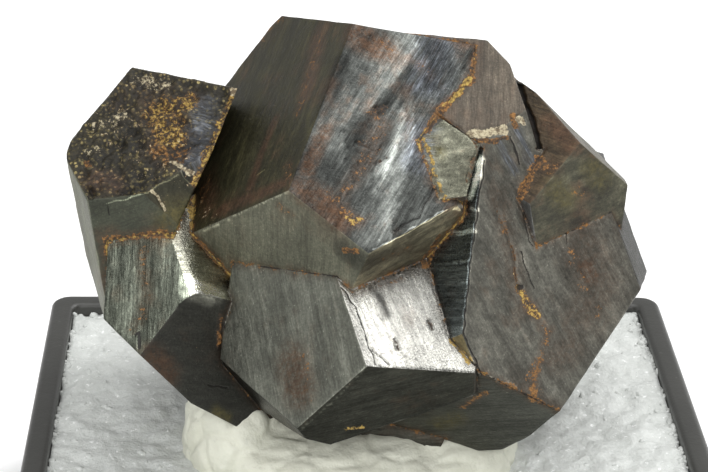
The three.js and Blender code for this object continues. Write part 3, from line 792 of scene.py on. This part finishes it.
# The rough face where the upper left crystal broke
BROKEN_TOP = "broken.rough_top"
TOP_MIDDLE = (-10.5, 3.8, 24.3)
TOP_REACH = 5.2
TOP_DEPTH = 0.3
TOP_TRIANGLE = 0.13

DEPOSITS_AND_SHADE = ("rust", "ochre", "pale", "dark")
STAINS_AND_LIGHT = ("red", "olive", "blue", "light")
BROWN = (0.085, 0.045, 0.025)
OLIVE = (0.1, 0.085, 0.03)
BLUE = (0.1, 0.11, 0.127)
# Black for painted shade in cracks, pits and seam grooves, together with the dark fill they hold
BLACK = (0.012, 0.01, 0.008)


class Seams:
    """Points along the edges of the crystals and along the hollow lines where two of them meet."""

    def __init__(self, bm):
        bm.faces.index_update()
        centres = np.array([face.calc_center_median()[:] for face in bm.faces])
        normals = np.array([face.normal[:] for face in bm.faces])
        owner = nearest_plane(centres, normals)
        names = [name.split(".")[0] for name in ALL_NAMES]
        self.seams, self.edges = [], []
        for rim in bm.edges:
            if len(rim.link_faces) != 2:
                continue
            bend = rim.calc_face_angle_signed(0)
            if -SEAM_BEND < bend < EDGE_BEND:
                continue
            pair = tuple(sorted({names[owner[face.index]] for face in rim.link_faces}))
            steps = int(rim.calc_length() / SEAM_STEP) + 1
            kept = self.edges if bend > 0 else self.seams
            for step in range(steps + 1):
                kept.append((rim.verts[0].co.lerp(rim.verts[1].co, step / steps), pair))
        self.seam_tree = self.tree_of(self.seams)
        self.edge_tree = self.tree_of(self.edges)

    @staticmethod
    def tree_of(samples):
        tree = KDTree(len(samples))
        for index, (spot, _) in enumerate(samples):
            tree.insert(spot, index)
        tree.balance()
        return tree

    def to_seam(self, points):
        return np.array([self.seam_tree.find(point)[2] for point in points])

    def to_edge(self, points):
        """Distance to the nearest edge of a single crystal."""
        return np.array([self.edge_tree.find(point)[2] for point in points])

    def filling(self, points):
        """What fills the nearest seam."""
        nearest = [self.seams[self.seam_tree.find(point)[1]][1] for point in points]
        return np.array([SEAMS.get(pair, DEFAULT_SEAM) for pair in nearest])


def on_broken_top(points):
    """Whether each point lies on the face where the upper left crystal broke."""
    normal, distance = next((n, d) for name, n, d in ALL_PLANES if name == BROKEN_TOP)
    off = np.abs(points @ np.array(normal) - distance)
    return (off < TOP_DEPTH) & (np.linalg.norm(points - np.array(TOP_MIDDLE), axis=1) < TOP_REACH)


def grown_together():
    """All the crystals as one closed mesh, fine where there is something to show, and its seams."""
    solids = []
    for name, (middle, faces) in CRYSTALS.items():
        rounded = [("striated", "bright", RIDGE_WIDTH)] if name == "west" else []
        solids.append(to_object(cut_crystal(Vector(middle), planes_of(middle, faces), rounded), name))
    for crystal in REAR_CRYSTALS:
        solids.append(to_object(cut_crystal(Vector(crystal[0]), rear_planes(*crystal)), "rear"))
    bm = bmesh.new()
    bm.from_mesh(joined(solids, "crystals"))
    bmesh.ops.remove_doubles(bm, verts=bm.verts, dist=UNION_DOUBLES)
    bmesh.ops.dissolve_degenerate(bm, edges=bm.edges, dist=UNION_SLIVERS)
    bmesh.ops.holes_fill(bm, edges=cut_off(bm, (0, 0, LOWEST_CRYSTAL), (0, 0, -1)))
    bmesh.ops.triangulate(bm, faces=bm.faces)
    bmesh.ops.remove_doubles(bm, verts=bm.verts, dist=SLIVER)
    seams = Seams(bm)

    def wanted_edge(points):
        front = points[:, 1] < FRONT_UNTIL
        near_line = np.minimum(seams.to_seam(points), seams.to_edge(points))
        finest, coarsest = np.where(front, np.transpose([FRONT_TRIANGLES]), np.transpose([REAR_TRIANGLES]))
        length = np.minimum(coarsest, finest + GROWTH * near_line)
        for kind, width, line in ALL_MARKS:
            sharp = MARK_KINDS[kind].get("relief", 0) < SHARP_DEPTH or kind == "glint"
            finest = SHARP_TRIANGLE if sharp else max(MARK_TRIANGLE, width * 0.5)
            beside = np.maximum(0, distance_to_line(points, line) - width * 1.2 - MARK_MARGIN)
            length = np.minimum(length, finest + GROWTH * beside)
        return np.where(on_broken_top(points), np.minimum(length, TOP_TRIANGLE), length)

    bm = bm.copy()
    refine(bm, wanted_edge, REFINE_PASSES)
    return bm, seams


def mark_fields(points, normals, seams):
    """Deposits, stains, painted light and shade, and relief at each point of the crystals."""
    fields = {name: np.zeros(len(points)) for name in DEPOSITS_AND_SHADE + STAINS_AND_LIGHT}
    relief = np.zeros(len(points))
    strays = [noise.noise_vector(Vector(point) * 2.2) for point in points]
    strayed = points + MARK_STRAY * np.array(strays)
    for kind, width, line in ALL_MARKS:
        distance = distance_to_line(strayed, line, normals)
        inner, outer = CLEAR_RIM if kind in CLEAR_CUT else SOFT_RIM
        spread = 1 - soft_step(distance, width * inner, width * outer)
        # Painted reflections of the lamps: a sheen band fades out to the left of its line and stops sharply
        # to its right
        if kind == "sheen":
            clear = 1 - soft_step(distance, 0, SHEEN_RIM)
            spread = np.where(left_of_line(strayed, line), spread, clear)
        for name, share in MARK_KINDS[kind].items():
            if name == "relief":
                relief += share * spread
            elif name == "light":
                fields[name] += share * spread
            else:
                fields[name] = np.maximum(fields[name], share * spread)
    near_seam, near_edge, filling = seams.to_seam(points), seams.to_edge(points), seams.filling(points)
    rusting, yellowing, darkening, width = filling.T
    patchy = 0.9 + 0.9 * rough(points, 0.6)
    width = width * np.clip(patchy, 0.25, 1.6)
    wandered = near_seam + 0.06 * rough(points, 1.7)
    spread = 1 - soft_step(wandered, width * 0.35, width * 1.1)
    inside = 1 - soft_step(wandered, width * 0.1, width * 0.7)
    fringe = 1 - soft_step(wandered, width * 0.8, width * 3)
    core = 1 - soft_step(near_seam, 0.015, 0.09)
    wear_and_highlight = np.clip(0.5 + 1.3 * rough(points, 0.8), 0, 1.3)
    rear = soft_step(points[:, 1], REAR_FROM, REAR_FROM + REAR_BLEND)
    blooms = rear * np.clip(2.5 * rough(points, 0.3), 0, 0.6)
    for name, share in (
        ("rust", (spread * 0.85 + fringe * 0.2) * rusting),
        ("ochre", inside * yellowing * np.clip(0.8 + 1.1 * rough(points, 0.7), 0, 1.2)),
        ("red", fringe * rusting * 0.8),
        # Black along the bottom of each seam: painted shade in the groove, together with its dark fill
        ("dark", core * darkening * np.clip(1.6 - patchy, 0.4, 1)),
        ("rust", blooms),
        ("red", blooms),
    ):
        fields[name] = np.maximum(fields[name], share)
    # Painted highlight: a thin lighter line along each crystal edge, patchy with the edge wear
    fields["light"] += 0.6 * (1 - soft_step(near_edge, 0.01, 0.06)) * (1 - spread) * wear_and_highlight
    relief -= core * 0.06 * darkening
    relief += 0.05 * spread * rusting * (1 - core) * crumbs(points, 2.6)
    relief -= 0.03 * (1 - soft_step(near_edge, 0.0, 0.12)) * wear_and_highlight
    relief += 0.022 * rough(points, 0.45, 2)
    return fields, relief, near_edge


def broken_relief(points, near_edge, top):
    """The spongy surface where the upper left crystal broke."""
    share = top * soft_step(near_edge, -0.1, 0.3)
    sponge = 0.24 * rough(points, 0.9, 5) + 0.16 * crumbs(points, 1.6) + 0.14 * crumbs(points, 3.2)
    return share * (sponge - 0.16)


def crystals_piece():
    bm, seams = grown_together()
    for face in bm.faces:
        face.smooth = True
    piece = to_object(bm, "crystals")
    mesh = piece.data
    points, outward = read(mesh.vertices, "co", 3), read(mesh.vertices, "normal", 3)
    owner = nearest_plane(read(mesh.polygons, "center", 3), read(mesh.polygons, "normal", 3))
    corner_vertex = read(mesh.loops, "vertex_index", 1, np.int64)
    corner_owner = np.repeat(owner, 3)
    fields, relief, near_edge = mark_fields(points, outward, seams)
    top = np.zeros(len(points))
    top[corner_vertex[ALL_NAMES[corner_owner] == BROKEN_TOP]] = 1
    sponge = broken_relief(points, near_edge, top)
    relief += sponge
    # Painted light and shade: the raised crumbs of the broken top are lightened and its hollows darkened
    fields["light"] += 4 * sponge
    skins = [SKINS.get(name, DEFAULT_SKIN) for name in ALL_NAMES]
    colours = np.array([(*skin.colour, skin.mottle) for skin in skins])
    finishes = np.array([(skin.metal, skin.dull, skin.stria, skin.crumbly) for skin in skins])
    paint(mesh, "skin", "CORNER", colours[corner_owner])
    paint(mesh, "finish", "CORNER", finishes[corner_owner])
    for name, channels in (("deposit_and_shade", DEPOSITS_AND_SHADE), ("stain_and_light", STAINS_AND_LIGHT)):
        paint(mesh, name, "POINT", np.stack([fields[channel] for channel in channels], axis=1))
    corner_points = points[corner_vertex]
    flat = [(corner_points * axis[corner_owner]).sum(axis=1) for axis in grain_axes(skins)]
    grain = mesh.uv_layers.new(name="grain")
    grain.data.foreach_set("uv", np.stack(flat, axis=1).astype(np.float32).ravel())
    place_points(mesh, points + outward * relief[:, None])
    mesh.materials.append(goethite())
    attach(piece, "root")
    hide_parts("crystal_cluster")


def paint(mesh, name, domain, colours):
    layer = mesh.color_attributes.new(name, "FLOAT_COLOR", domain)
    layer.data.foreach_set("color", colours.astype(np.float32).ravel())


def grain_axes(skins):
    """Across and along the striations of each plane."""
    across, along = [], []
    for (_, normal, _), skin in zip(ALL_PLANES, skins):
        down = (normal * normal.z - Vector((0, 0, 1))).normalized()
        side = normal.cross(down)
        turn = math.radians(skin.grain)
        run = down * math.cos(turn) + side * math.sin(turn)
        along.append(run[:])
        across.append(normal.cross(run)[:])
    return np.array(across), np.array(along)


def goethite():
    finish = Finish("goethite")
    place = finish.place()
    skin, (_, _, _, clouding) = finish.attribute("skin")
    _, (metal, dull, stria, crumbly) = finish.attribute("finish")
    _, (rust, ochre, pale, dark) = finish.attribute("deposit_and_shade")
    _, (red, olive, blue, light) = finish.attribute("stain_and_light")

    def layer(where, scale, detail, roughness):
        return finish.noise(where, scale, detail, roughness) - 0.5

    # Striations, clouds and grit, small painted glints from sparkle, and the painted highlights and shade of
    # the light share
    grain = finish.add("ShaderNodeUVMap", {"uv_map": "grain"}, {})
    hairs = layer(finish.stretched(grain, (15, 1.6, 1)), 1, 3, 0.65)
    lines = layer(finish.stretched(grain, (5, 0.3, 1)), 1, 4, 0.62)
    bands = layer(finish.stretched(grain, (1.1, 0.12, 1)), 1, 3, 0.5)
    streaks = layer(finish.stretched(grain, (2.6, 0.7, 1)), 1, 4, 0.65)
    cloud = layer(place, 0.5, 4, 0.6)
    patch = layer(place, 2.4, 5, 0.72)
    grit = layer(place, 9, 4, 0.7)
    sparkle = finish.noise(place, 11, 2, 0.5).between(0.66, 0.74)
    exposure = (
        stria * (bands * 3 + lines * 4 + hairs * 4)
        + clouding * (cloud * 2.6 + patch * 2.4 + streaks * 3.4)
        + grit * (3.4 - metal * 1.8) + sparkle * 0.9 + light
    )
    ragged = layer(place, 2.6, 5, 0.75)
    crumb = layer(place, 7, 4, 0.7)
    torn = ragged * 1.6 + crumb * 1.5
    grains = finish.cells(place, 4.6)
    granules = (0.41 - grains).between(-0.05, 0.12) * (ragged * 4 + 0.7).clamped()
    exposure = exposure + crumbly * (crumb * 5 + granules * 3.6 - 1.2)

    # Stains
    patina = (finish.noise(place, 0.42, 4, 0.65) + streaks * 0.4).between(0.52, 0.72) * clouding
    colour = finish.scaled(skin, 2 ** exposure)
    for share, stain_and_light in (
        (patina * 0.5, finish.scaled(BROWN, 2 ** (exposure * 0.7))),
        ((red * (0.8 + torn * 1.6)).clamped() * 0.75,
         finish.scaled(BROWN, 2 ** (exposure * 0.5 + patch * 2))),
        ((olive * (0.7 + torn * 1.6)).clamped() * 0.7, finish.scaled(OLIVE, 2 ** (patch * 4))),
        ((blue * (0.7 + lines * 4)).clamped() * 0.7, finish.scaled(BLUE, 2 ** (hairs * 8 + light))),
    ):
        colour = finish.mixed(share, colour, stain_and_light)

    # Deposits, and black for painted shade in cracks and seam grooves
    tone = crumb * 4 + ragged * 3 + (0.42 - grains) * crumbly * 1.6
    bare = 1
    for cover, deposit_and_shade in (
        ((rust * 1.1 - 0.62 + torn).between(-0.1, 0.1),
         finish.mixed((0.36 + tone).clamped(), (0.035, 0.02, 0.01), (0.3, 0.14, 0.035))),
        ((ochre * 1.1 - 0.68 + torn * 1.2).between(-0.1, 0.12),
         finish.mixed((0.42 + tone).clamped(), (0.1, 0.056, 0.014), (0.5, 0.345, 0.085))),
        ((pale * 1.1 - 0.66 + torn * 1.1).between(-0.08, 0.12),
         finish.mixed((0.45 + tone).clamped(), (0.16, 0.12, 0.07), (0.6, 0.53, 0.36))),
        ((dark * 1.1 - 0.62 + torn * 0.5).between(-0.12, 0.1), BLACK),
    ):
        colour = finish.mixed(cover * 0.92, colour, deposit_and_shade)
        bare = (1 - cover * 0.9) * bare

    height = (
        stria * (lines * 0.035 + hairs * 0.016) * bare
        + clouding * patch * 0.06 + grit * 0.02 + (1 - bare + crumbly) * crumb * 0.08
    )
    roughness = dull + cloud * 0.2 + patch * 0.25 + grit * 0.3 + (1 - bare) * 0.35
    return finish.shade({
        "Base Color": colour,
        "Metallic": metal * bare,
        "Roughness": roughness.clamped(),
        "Normal": finish.bump(height),
    })


# The display base
SHARP_FROM = math.radians(35)


def ring(bm, half, corner, height):
    """A square with rounded corners, as a loop of edges."""
    made = bmesh.ops.create_grid(bm, x_segments=1, y_segments=1, size=half)
    bmesh.ops.translate(bm, vec=(0, 0, height), verts=made["verts"])
    bmesh.ops.bevel(
        bm, geom=made["verts"], offset=corner, offset_type="OFFSET", segments=CORNER_STEPS, profile=0.5,
        affect="VERTICES", material=-1,
    )
    face = next(iter(bm.faces))
    loop = face.edges[:]
    bmesh.ops.delete(bm, geom=[face], context="FACES_ONLY")
    return loop


def wall_profile():
    """Half side and height of each ring, from the middle of the foot up and over the rim to the inside."""
    inner = BASE_SIDE / 2 - BASE_WALL
    bend = BASE_SIDE / 2 - BASE_ROUND
    top = BASE_HEIGHT - BASE_ROUND
    inside = BASE_ROUND * LIP_SHARE
    turns = [(math.sin(angle), math.cos(angle)) for angle in np.linspace(0, math.pi / 2, ROUND_STOPS)]
    foot = [(bend + BASE_ROUND * out, BASE_ROUND - BASE_ROUND * up) for out, up in turns]
    outer = [(bend + BASE_ROUND * out, top + BASE_ROUND * up) for up, out in turns]
    lip = [(inner + inside - inside * out, BASE_HEIGHT - inside + inside * up) for out, up in turns]
    return foot + outer + lip + [(inner, BASE_FLOOR)]


def display_base():
    bm = bmesh.new()
    rings = [
        ring(bm, half, max(BASE_CORNER - (BASE_SIDE / 2 - half), INNER_CORNER), height)
        for half, height in wall_profile()
    ]
    for lower, upper in zip(rings[:-1], rings[1:]):
        bmesh.ops.bridge_loops(bm, edges=lower + upper)
    bmesh.ops.contextual_create(bm, geom=rings[0])
    bmesh.ops.contextual_create(bm, geom=rings[-1])
    bmesh.ops.recalc_face_normals(bm, faces=bm.faces)
    for face in bm.faces:
        face.smooth = True
    for rim in bm.edges:
        rim.smooth = rim.calc_face_angle(0) < SHARP_FROM
    bmesh.ops.scale(bm, vec=(MM, MM, MM), verts=bm.verts)
    piece = to_object(bm, "tray")
    piece.data.materials.append(moulded_black())
    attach(piece, "root")
    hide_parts("display_base")


def moulded_black():
    finish = Finish("moulded_black")
    place = finish.place()
    cloud = finish.noise(place, 0.35, 4, 0.6)
    grain = finish.noise(place, 6, 3, 0.6)
    dust = finish.noise(place, 2.5, 5, 0.7).between(0.62, 0.75)
    colour = finish.mixed(cloud, (0.032, 0.032, 0.029), (0.052, 0.052, 0.047))
    colour = finish.mixed(dust * 0.25, colour, (0.25, 0.25, 0.23))
    return finish.shade({
        "Base Color": colour,
        "Roughness": 0.38 + (cloud - 0.5) * 0.15 + (grain - 0.5) * 0.1,
        "Normal": finish.bump((grain - 0.5) * 0.01 + (cloud - 0.5) * 0.05),
    })


# The torn foam: how far it stands over its moulded top, the mound under the crystals' front, how far each
# kind of roughness reaches, and its flakes, in millimetres
FOAM_RISE = 0.5
MOUND_HEIGHT = 0.9
MOUND_MIDDLE = (-1, -6)
MOUND_SPREAD = (8, 4.5)
LUMP = 0.2
SHRED = 0.22
FUZZ = 0.1
FINE_FUZZ = 0.04
FLAKE_LENGTH = (0.14, 0.34)
FLAKE_TILT = 1.3
FLAKE_TEAR = 0.05
RIM_SPREAD = 0.25
RIM_REACH = 0.12


def foam_height(x, y):
    """The torn top of the foam."""
    across = (x - MOUND_MIDDLE[0]) / MOUND_SPREAD[0]
    along = (y - MOUND_MIDDLE[1]) / MOUND_SPREAD[1]
    mound = MOUND_HEIGHT * math.exp(-across ** 2 - along ** 2)
    spot = Vector((x, y, 3))
    lumps = LUMP * noise.fractal(spot * 0.5, 0.9, 2.0, 3)
    shreds = SHRED * min(noise.voronoi(spot * 1.1)[0][0], 0.8) ** 2
    fuzz = FUZZ * noise.noise(spot * 1.4) + FINE_FUZZ * noise.fractal(spot * 2.2, 0.8, 2.0, 2)
    return FOAM_TOP + FOAM_RISE + mound + lumps - shreds + fuzz


def foam_piece():
    half = BASE_SIDE / 2 - BASE_WALL - FOAM_GAP
    bm = bmesh.new()
    bmesh.ops.create_grid(bm, x_segments=FOAM_STEPS, y_segments=FOAM_STEPS, size=half)
    for vertex in bm.verts:
        vertex.co.z = foam_height(vertex.co.x, vertex.co.y)
    rim = bmesh.ops.extrude_edge_only(bm, edges=[e for e in bm.edges if e.is_boundary])
    for part in rim["geom"]:
        if isinstance(part, bmesh.types.BMVert):
            part.co.z = BASE_FLOOR + FOAM_FOOT
    bmesh.ops.holes_fill(bm, edges=[e for e in bm.edges if e.is_boundary])
    bmesh.ops.recalc_face_normals(bm, faces=bm.faces)
    draw = random.Random(7)
    spots = [(draw.uniform(-half, half), draw.uniform(-half, half)) for _ in range(FLAKES)]
    for _ in range(RIM_FLAKES):
        near = half - abs(draw.gauss(0, RIM_SPREAD)) + RIM_REACH
        along = draw.uniform(-half, half)
        spots.append(draw.choice(((near, along), (-near, along), (along, near), (along, -near))))
    for start in range(0, len(spots), FLAKE_BATCH):
        batch = bmesh.new()
        for x, y in spots[start:start + FLAKE_BATCH]:
            flake(batch, draw, x, y)
        mesh = bpy.data.meshes.new("flakes")
        batch.to_mesh(mesh)
        batch.free()
        bm.from_mesh(mesh)
        bpy.data.meshes.remove(mesh)
    bmesh.ops.scale(bm, vec=(MM, MM, MM), verts=bm.verts)
    for face in bm.faces:
        face.smooth = face.normal.z > -0.5
    piece = to_object(bm, "foam")
    piece.data.materials.append(torn_foam())
    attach(piece, "root")
    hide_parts("foam_bed")


def flake(bm, draw, x, y):
    """A torn scrap of foam that stands out of the surface."""
    long = draw.uniform(*FLAKE_LENGTH)
    sizes = (long, long * draw.uniform(0.55, 0.9), long * draw.uniform(0.4, 0.7))
    height = foam_height(x, y) - long * draw.uniform(0.1, 0.5)
    turn = Matrix.Rotation(draw.uniform(0, math.tau), 4, "Z")
    for axis in ("X", "Y"):
        turn = turn @ Matrix.Rotation(draw.uniform(-FLAKE_TILT, FLAKE_TILT), 4, axis)
    place = Matrix.Translation((x, y, height)) @ turn @ Matrix.Diagonal((*sizes, 1))
    made = bmesh.ops.create_icosphere(bm, subdivisions=1, radius=1, matrix=place)
    for vertex in made["verts"]:
        vertex.co += noise.noise_vector(vertex.co * 4) * FLAKE_TEAR


def torn_foam():
    finish = Finish("torn_foam")
    place = finish.place()
    cloud = finish.noise(place, 0.45, 4, 0.6)
    grain = finish.noise(place, 3, 4, 0.65)
    shadow = (cloud * 1.2 + grain * 1.2 - 0.7).clamped()
    colour = finish.mixed(shadow, (0.51, 0.53, 0.505), (0.7, 0.72, 0.695))
    glint = finish.noise(place, 3.6, 3, 0.6).between(0.62, 0.7)
    colour = finish.mixed(glint, colour, (0.95, 0.96, 0.95))
    return finish.shade({
        "Base Color": colour,
        "Roughness": 0.5 - glint * 0.32,
        "Normal": finish.bump((grain - 0.5) * 0.12),
    })


# The putty: the middle and the half sizes of each lump that was pressed into it
PUTTY_LUMPS = [
    ((-1.3, 2.0, 8.9), (7.1, 6.2, 2.7)),
    ((-6.4, 1.3, 9.4), (2.7, 3.7, 3.7)),
    ((-1.0, -1.6, 9.4), (5.8, 2.8, 1.9)),
    ((3.4, 0.2, 9.2), (3.8, 3.6, 2.6)),
    ((0.0, 5.0, 9.0), (7.1, 3.7, 3.7)),
]
PUTTY_VOXEL = 0.16
PUTTY_SMOOTHING = 14
PUTTY_WAVE = 0.22
PUTTY_CREASE = 0.16


def putty_piece():
    bm = bmesh.new()
    for middle, halves in PUTTY_LUMPS:
        place = Matrix.Translation(middle) @ Matrix.Diagonal((*halves, 1))
        bmesh.ops.create_icosphere(bm, subdivisions=4, radius=1, matrix=place)
    piece = to_object(bm, "putty")
    remesh = piece.modifiers.new("pressed", "REMESH")
    remesh.mode = "VOXEL"
    remesh.voxel_size = PUTTY_VOXEL
    smooth = piece.modifiers.new("soft", "SMOOTH")
    smooth.iterations = PUTTY_SMOOTHING
    mesh = evaluated(piece)
    piece.modifiers.clear()
    piece.data = mesh
    points = read(mesh.vertices, "co", 3)
    pressed = []
    for point in points:
        wave = PUTTY_WAVE * noise.fractal(Vector(point) * 0.45, 0.8, 2.0, 3)
        crease = noise.voronoi(Vector(point) * 0.55)[0]
        pressed.append(wave - PUTTY_CREASE * max(0, 1 - 5 * (crease[1] - crease[0])))
    place_points(mesh, points + read(mesh.vertices, "normal", 3) * np.array(pressed)[:, None])
    for face in mesh.polygons:
        face.use_smooth = True
    mesh.materials.append(mounting_putty())
    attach(piece, "root")
    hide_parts("mounting_putty")


def mounting_putty():
    finish = Finish("mounting_putty")
    place = finish.place()
    cloud = finish.noise(place, 0.6, 4, 0.6)
    grain = finish.noise(place, 5, 3, 0.6)
    smudge = finish.noise(place, 1.6, 4, 0.7).between(0.6, 0.78)
    colour = finish.mixed(cloud, (0.66, 0.66, 0.54), (0.84, 0.85, 0.74))
    colour = finish.mixed(smudge * 0.45, colour, (0.42, 0.44, 0.38))
    return finish.shade({
        "Base Color": colour,
        "Roughness": 0.5 + (grain - 0.5) * 0.2,
        "Normal": finish.bump((grain - 0.5) * 0.03 + (cloud - 0.5) * 0.2),
    })


# The studio: where the camera is and looks, in degrees, and each softbox's heading, rise, distance, size and
# brightness; the window is the main light
EYE = Vector((-5.19, -94.08, 64.68)) * MM
LOOK_DOWN = 24.964
LOOK_RIGHT = 2.576
TILT = -1.269
LENS = 114.15
SENSOR = 36
SOFTBOXES = {
    "window": (110, 57, 0.55, (0.28, 0.3), 5.2),
    "ceiling": (0, 85, 0.6, (0.5, 0.5), 2.1),
    "left_panel": (-95, 25, 0.5, (0.3, 0.25), 0.9),
    "front_panel": (-12, 31, 0.55, (0.5, 0.26), 3.8),
    "right_panel": (129, 25, 0.5, (0.22, 0.2), 3.5),
}
AIM_HEIGHT = 0.015
SURROUND = (0.46, 0.46, 0.46, 1)
BACKDROP = (0.9, 0.9, 0.9, 1)
FLOOR_SIZE = 2
FLOOR_DROP = 0.0002


def camera():
    data = bpy.data.cameras.new("camera")
    data.lens = LENS
    data.sensor_width = SENSOR
    data.sensor_fit = "HORIZONTAL"
    data.clip_start = 0.001
    data.clip_end = 10
    eye = bpy.data.objects.new("camera", data)
    turn = (
        Matrix.Rotation(math.radians(-LOOK_RIGHT), 4, "Z")
        @ Matrix.Rotation(math.radians(90 - LOOK_DOWN), 4, "X")
        @ Matrix.Rotation(math.radians(-TILT), 4, "Z")
    )
    eye.matrix_world = Matrix.Translation(EYE) @ turn
    bpy.context.scene.collection.objects.link(eye)
    bpy.context.scene.camera = eye


def softbox(name, heading, rise, distance, size, brightness):
    """An area light that looks at the object from a heading and a rise."""
    data = bpy.data.lights.new(name, "AREA")
    data.shape = "RECTANGLE"
    data.size, data.size_y = size
    data.energy = brightness * math.pi * size[0] * size[1]
    lamp = bpy.data.objects.new(name, data)
    away = direction(heading, rise)
    lamp.location = away * distance + Vector((0, 0, AIM_HEIGHT))
    lamp.rotation_mode = "QUATERNION"
    lamp.rotation_quaternion = away.to_track_quat("Z", "Y")
    lamp.visible_camera = False
    bpy.context.scene.collection.objects.link(lamp)


def studio():
    bm = bmesh.new()
    bmesh.ops.create_grid(bm, x_segments=2, y_segments=2, size=FLOOR_SIZE)
    floor = to_object(bm, "floor")
    floor.location.z = -FLOOR_DROP
    paper = Finish("pale_paper")
    cloud = paper.noise(paper.place(), 0.01, 2)
    floor.data.materials.append(paper.shade({
        "Base Color": paper.mixed(cloud, (0.93, 0.93, 0.93), (0.95, 0.95, 0.95)),
        "Roughness": 0.9,
        "Specular IOR Level": 0.1,
    }))
    for name, settings in SOFTBOXES.items():
        softbox(name, *settings)
    world = bpy.data.worlds.new("studio")
    world.use_nodes = True
    nodes, links = world.node_tree.nodes, world.node_tree.links
    surround = nodes["Background"]
    surround.inputs["Color"].default_value = SURROUND
    backdrop = nodes.new("ShaderNodeBackground")
    backdrop.inputs["Color"].default_value = BACKDROP
    seen = nodes.new("ShaderNodeLightPath")
    either = nodes.new("ShaderNodeMixShader")
    links.new(seen.outputs["Is Camera Ray"], either.inputs[0])
    links.new(surround.outputs[0], either.inputs[1])
    links.new(backdrop.outputs[0], either.inputs[2])
    links.new(either.outputs[0], nodes["World Output"].inputs["Surface"])
    bpy.context.scene.world = world


crystals_piece()
display_base()
foam_piece()
putty_piece()
camera()
studio()
bpy.context.scene.view_settings.view_transform = "Standard"
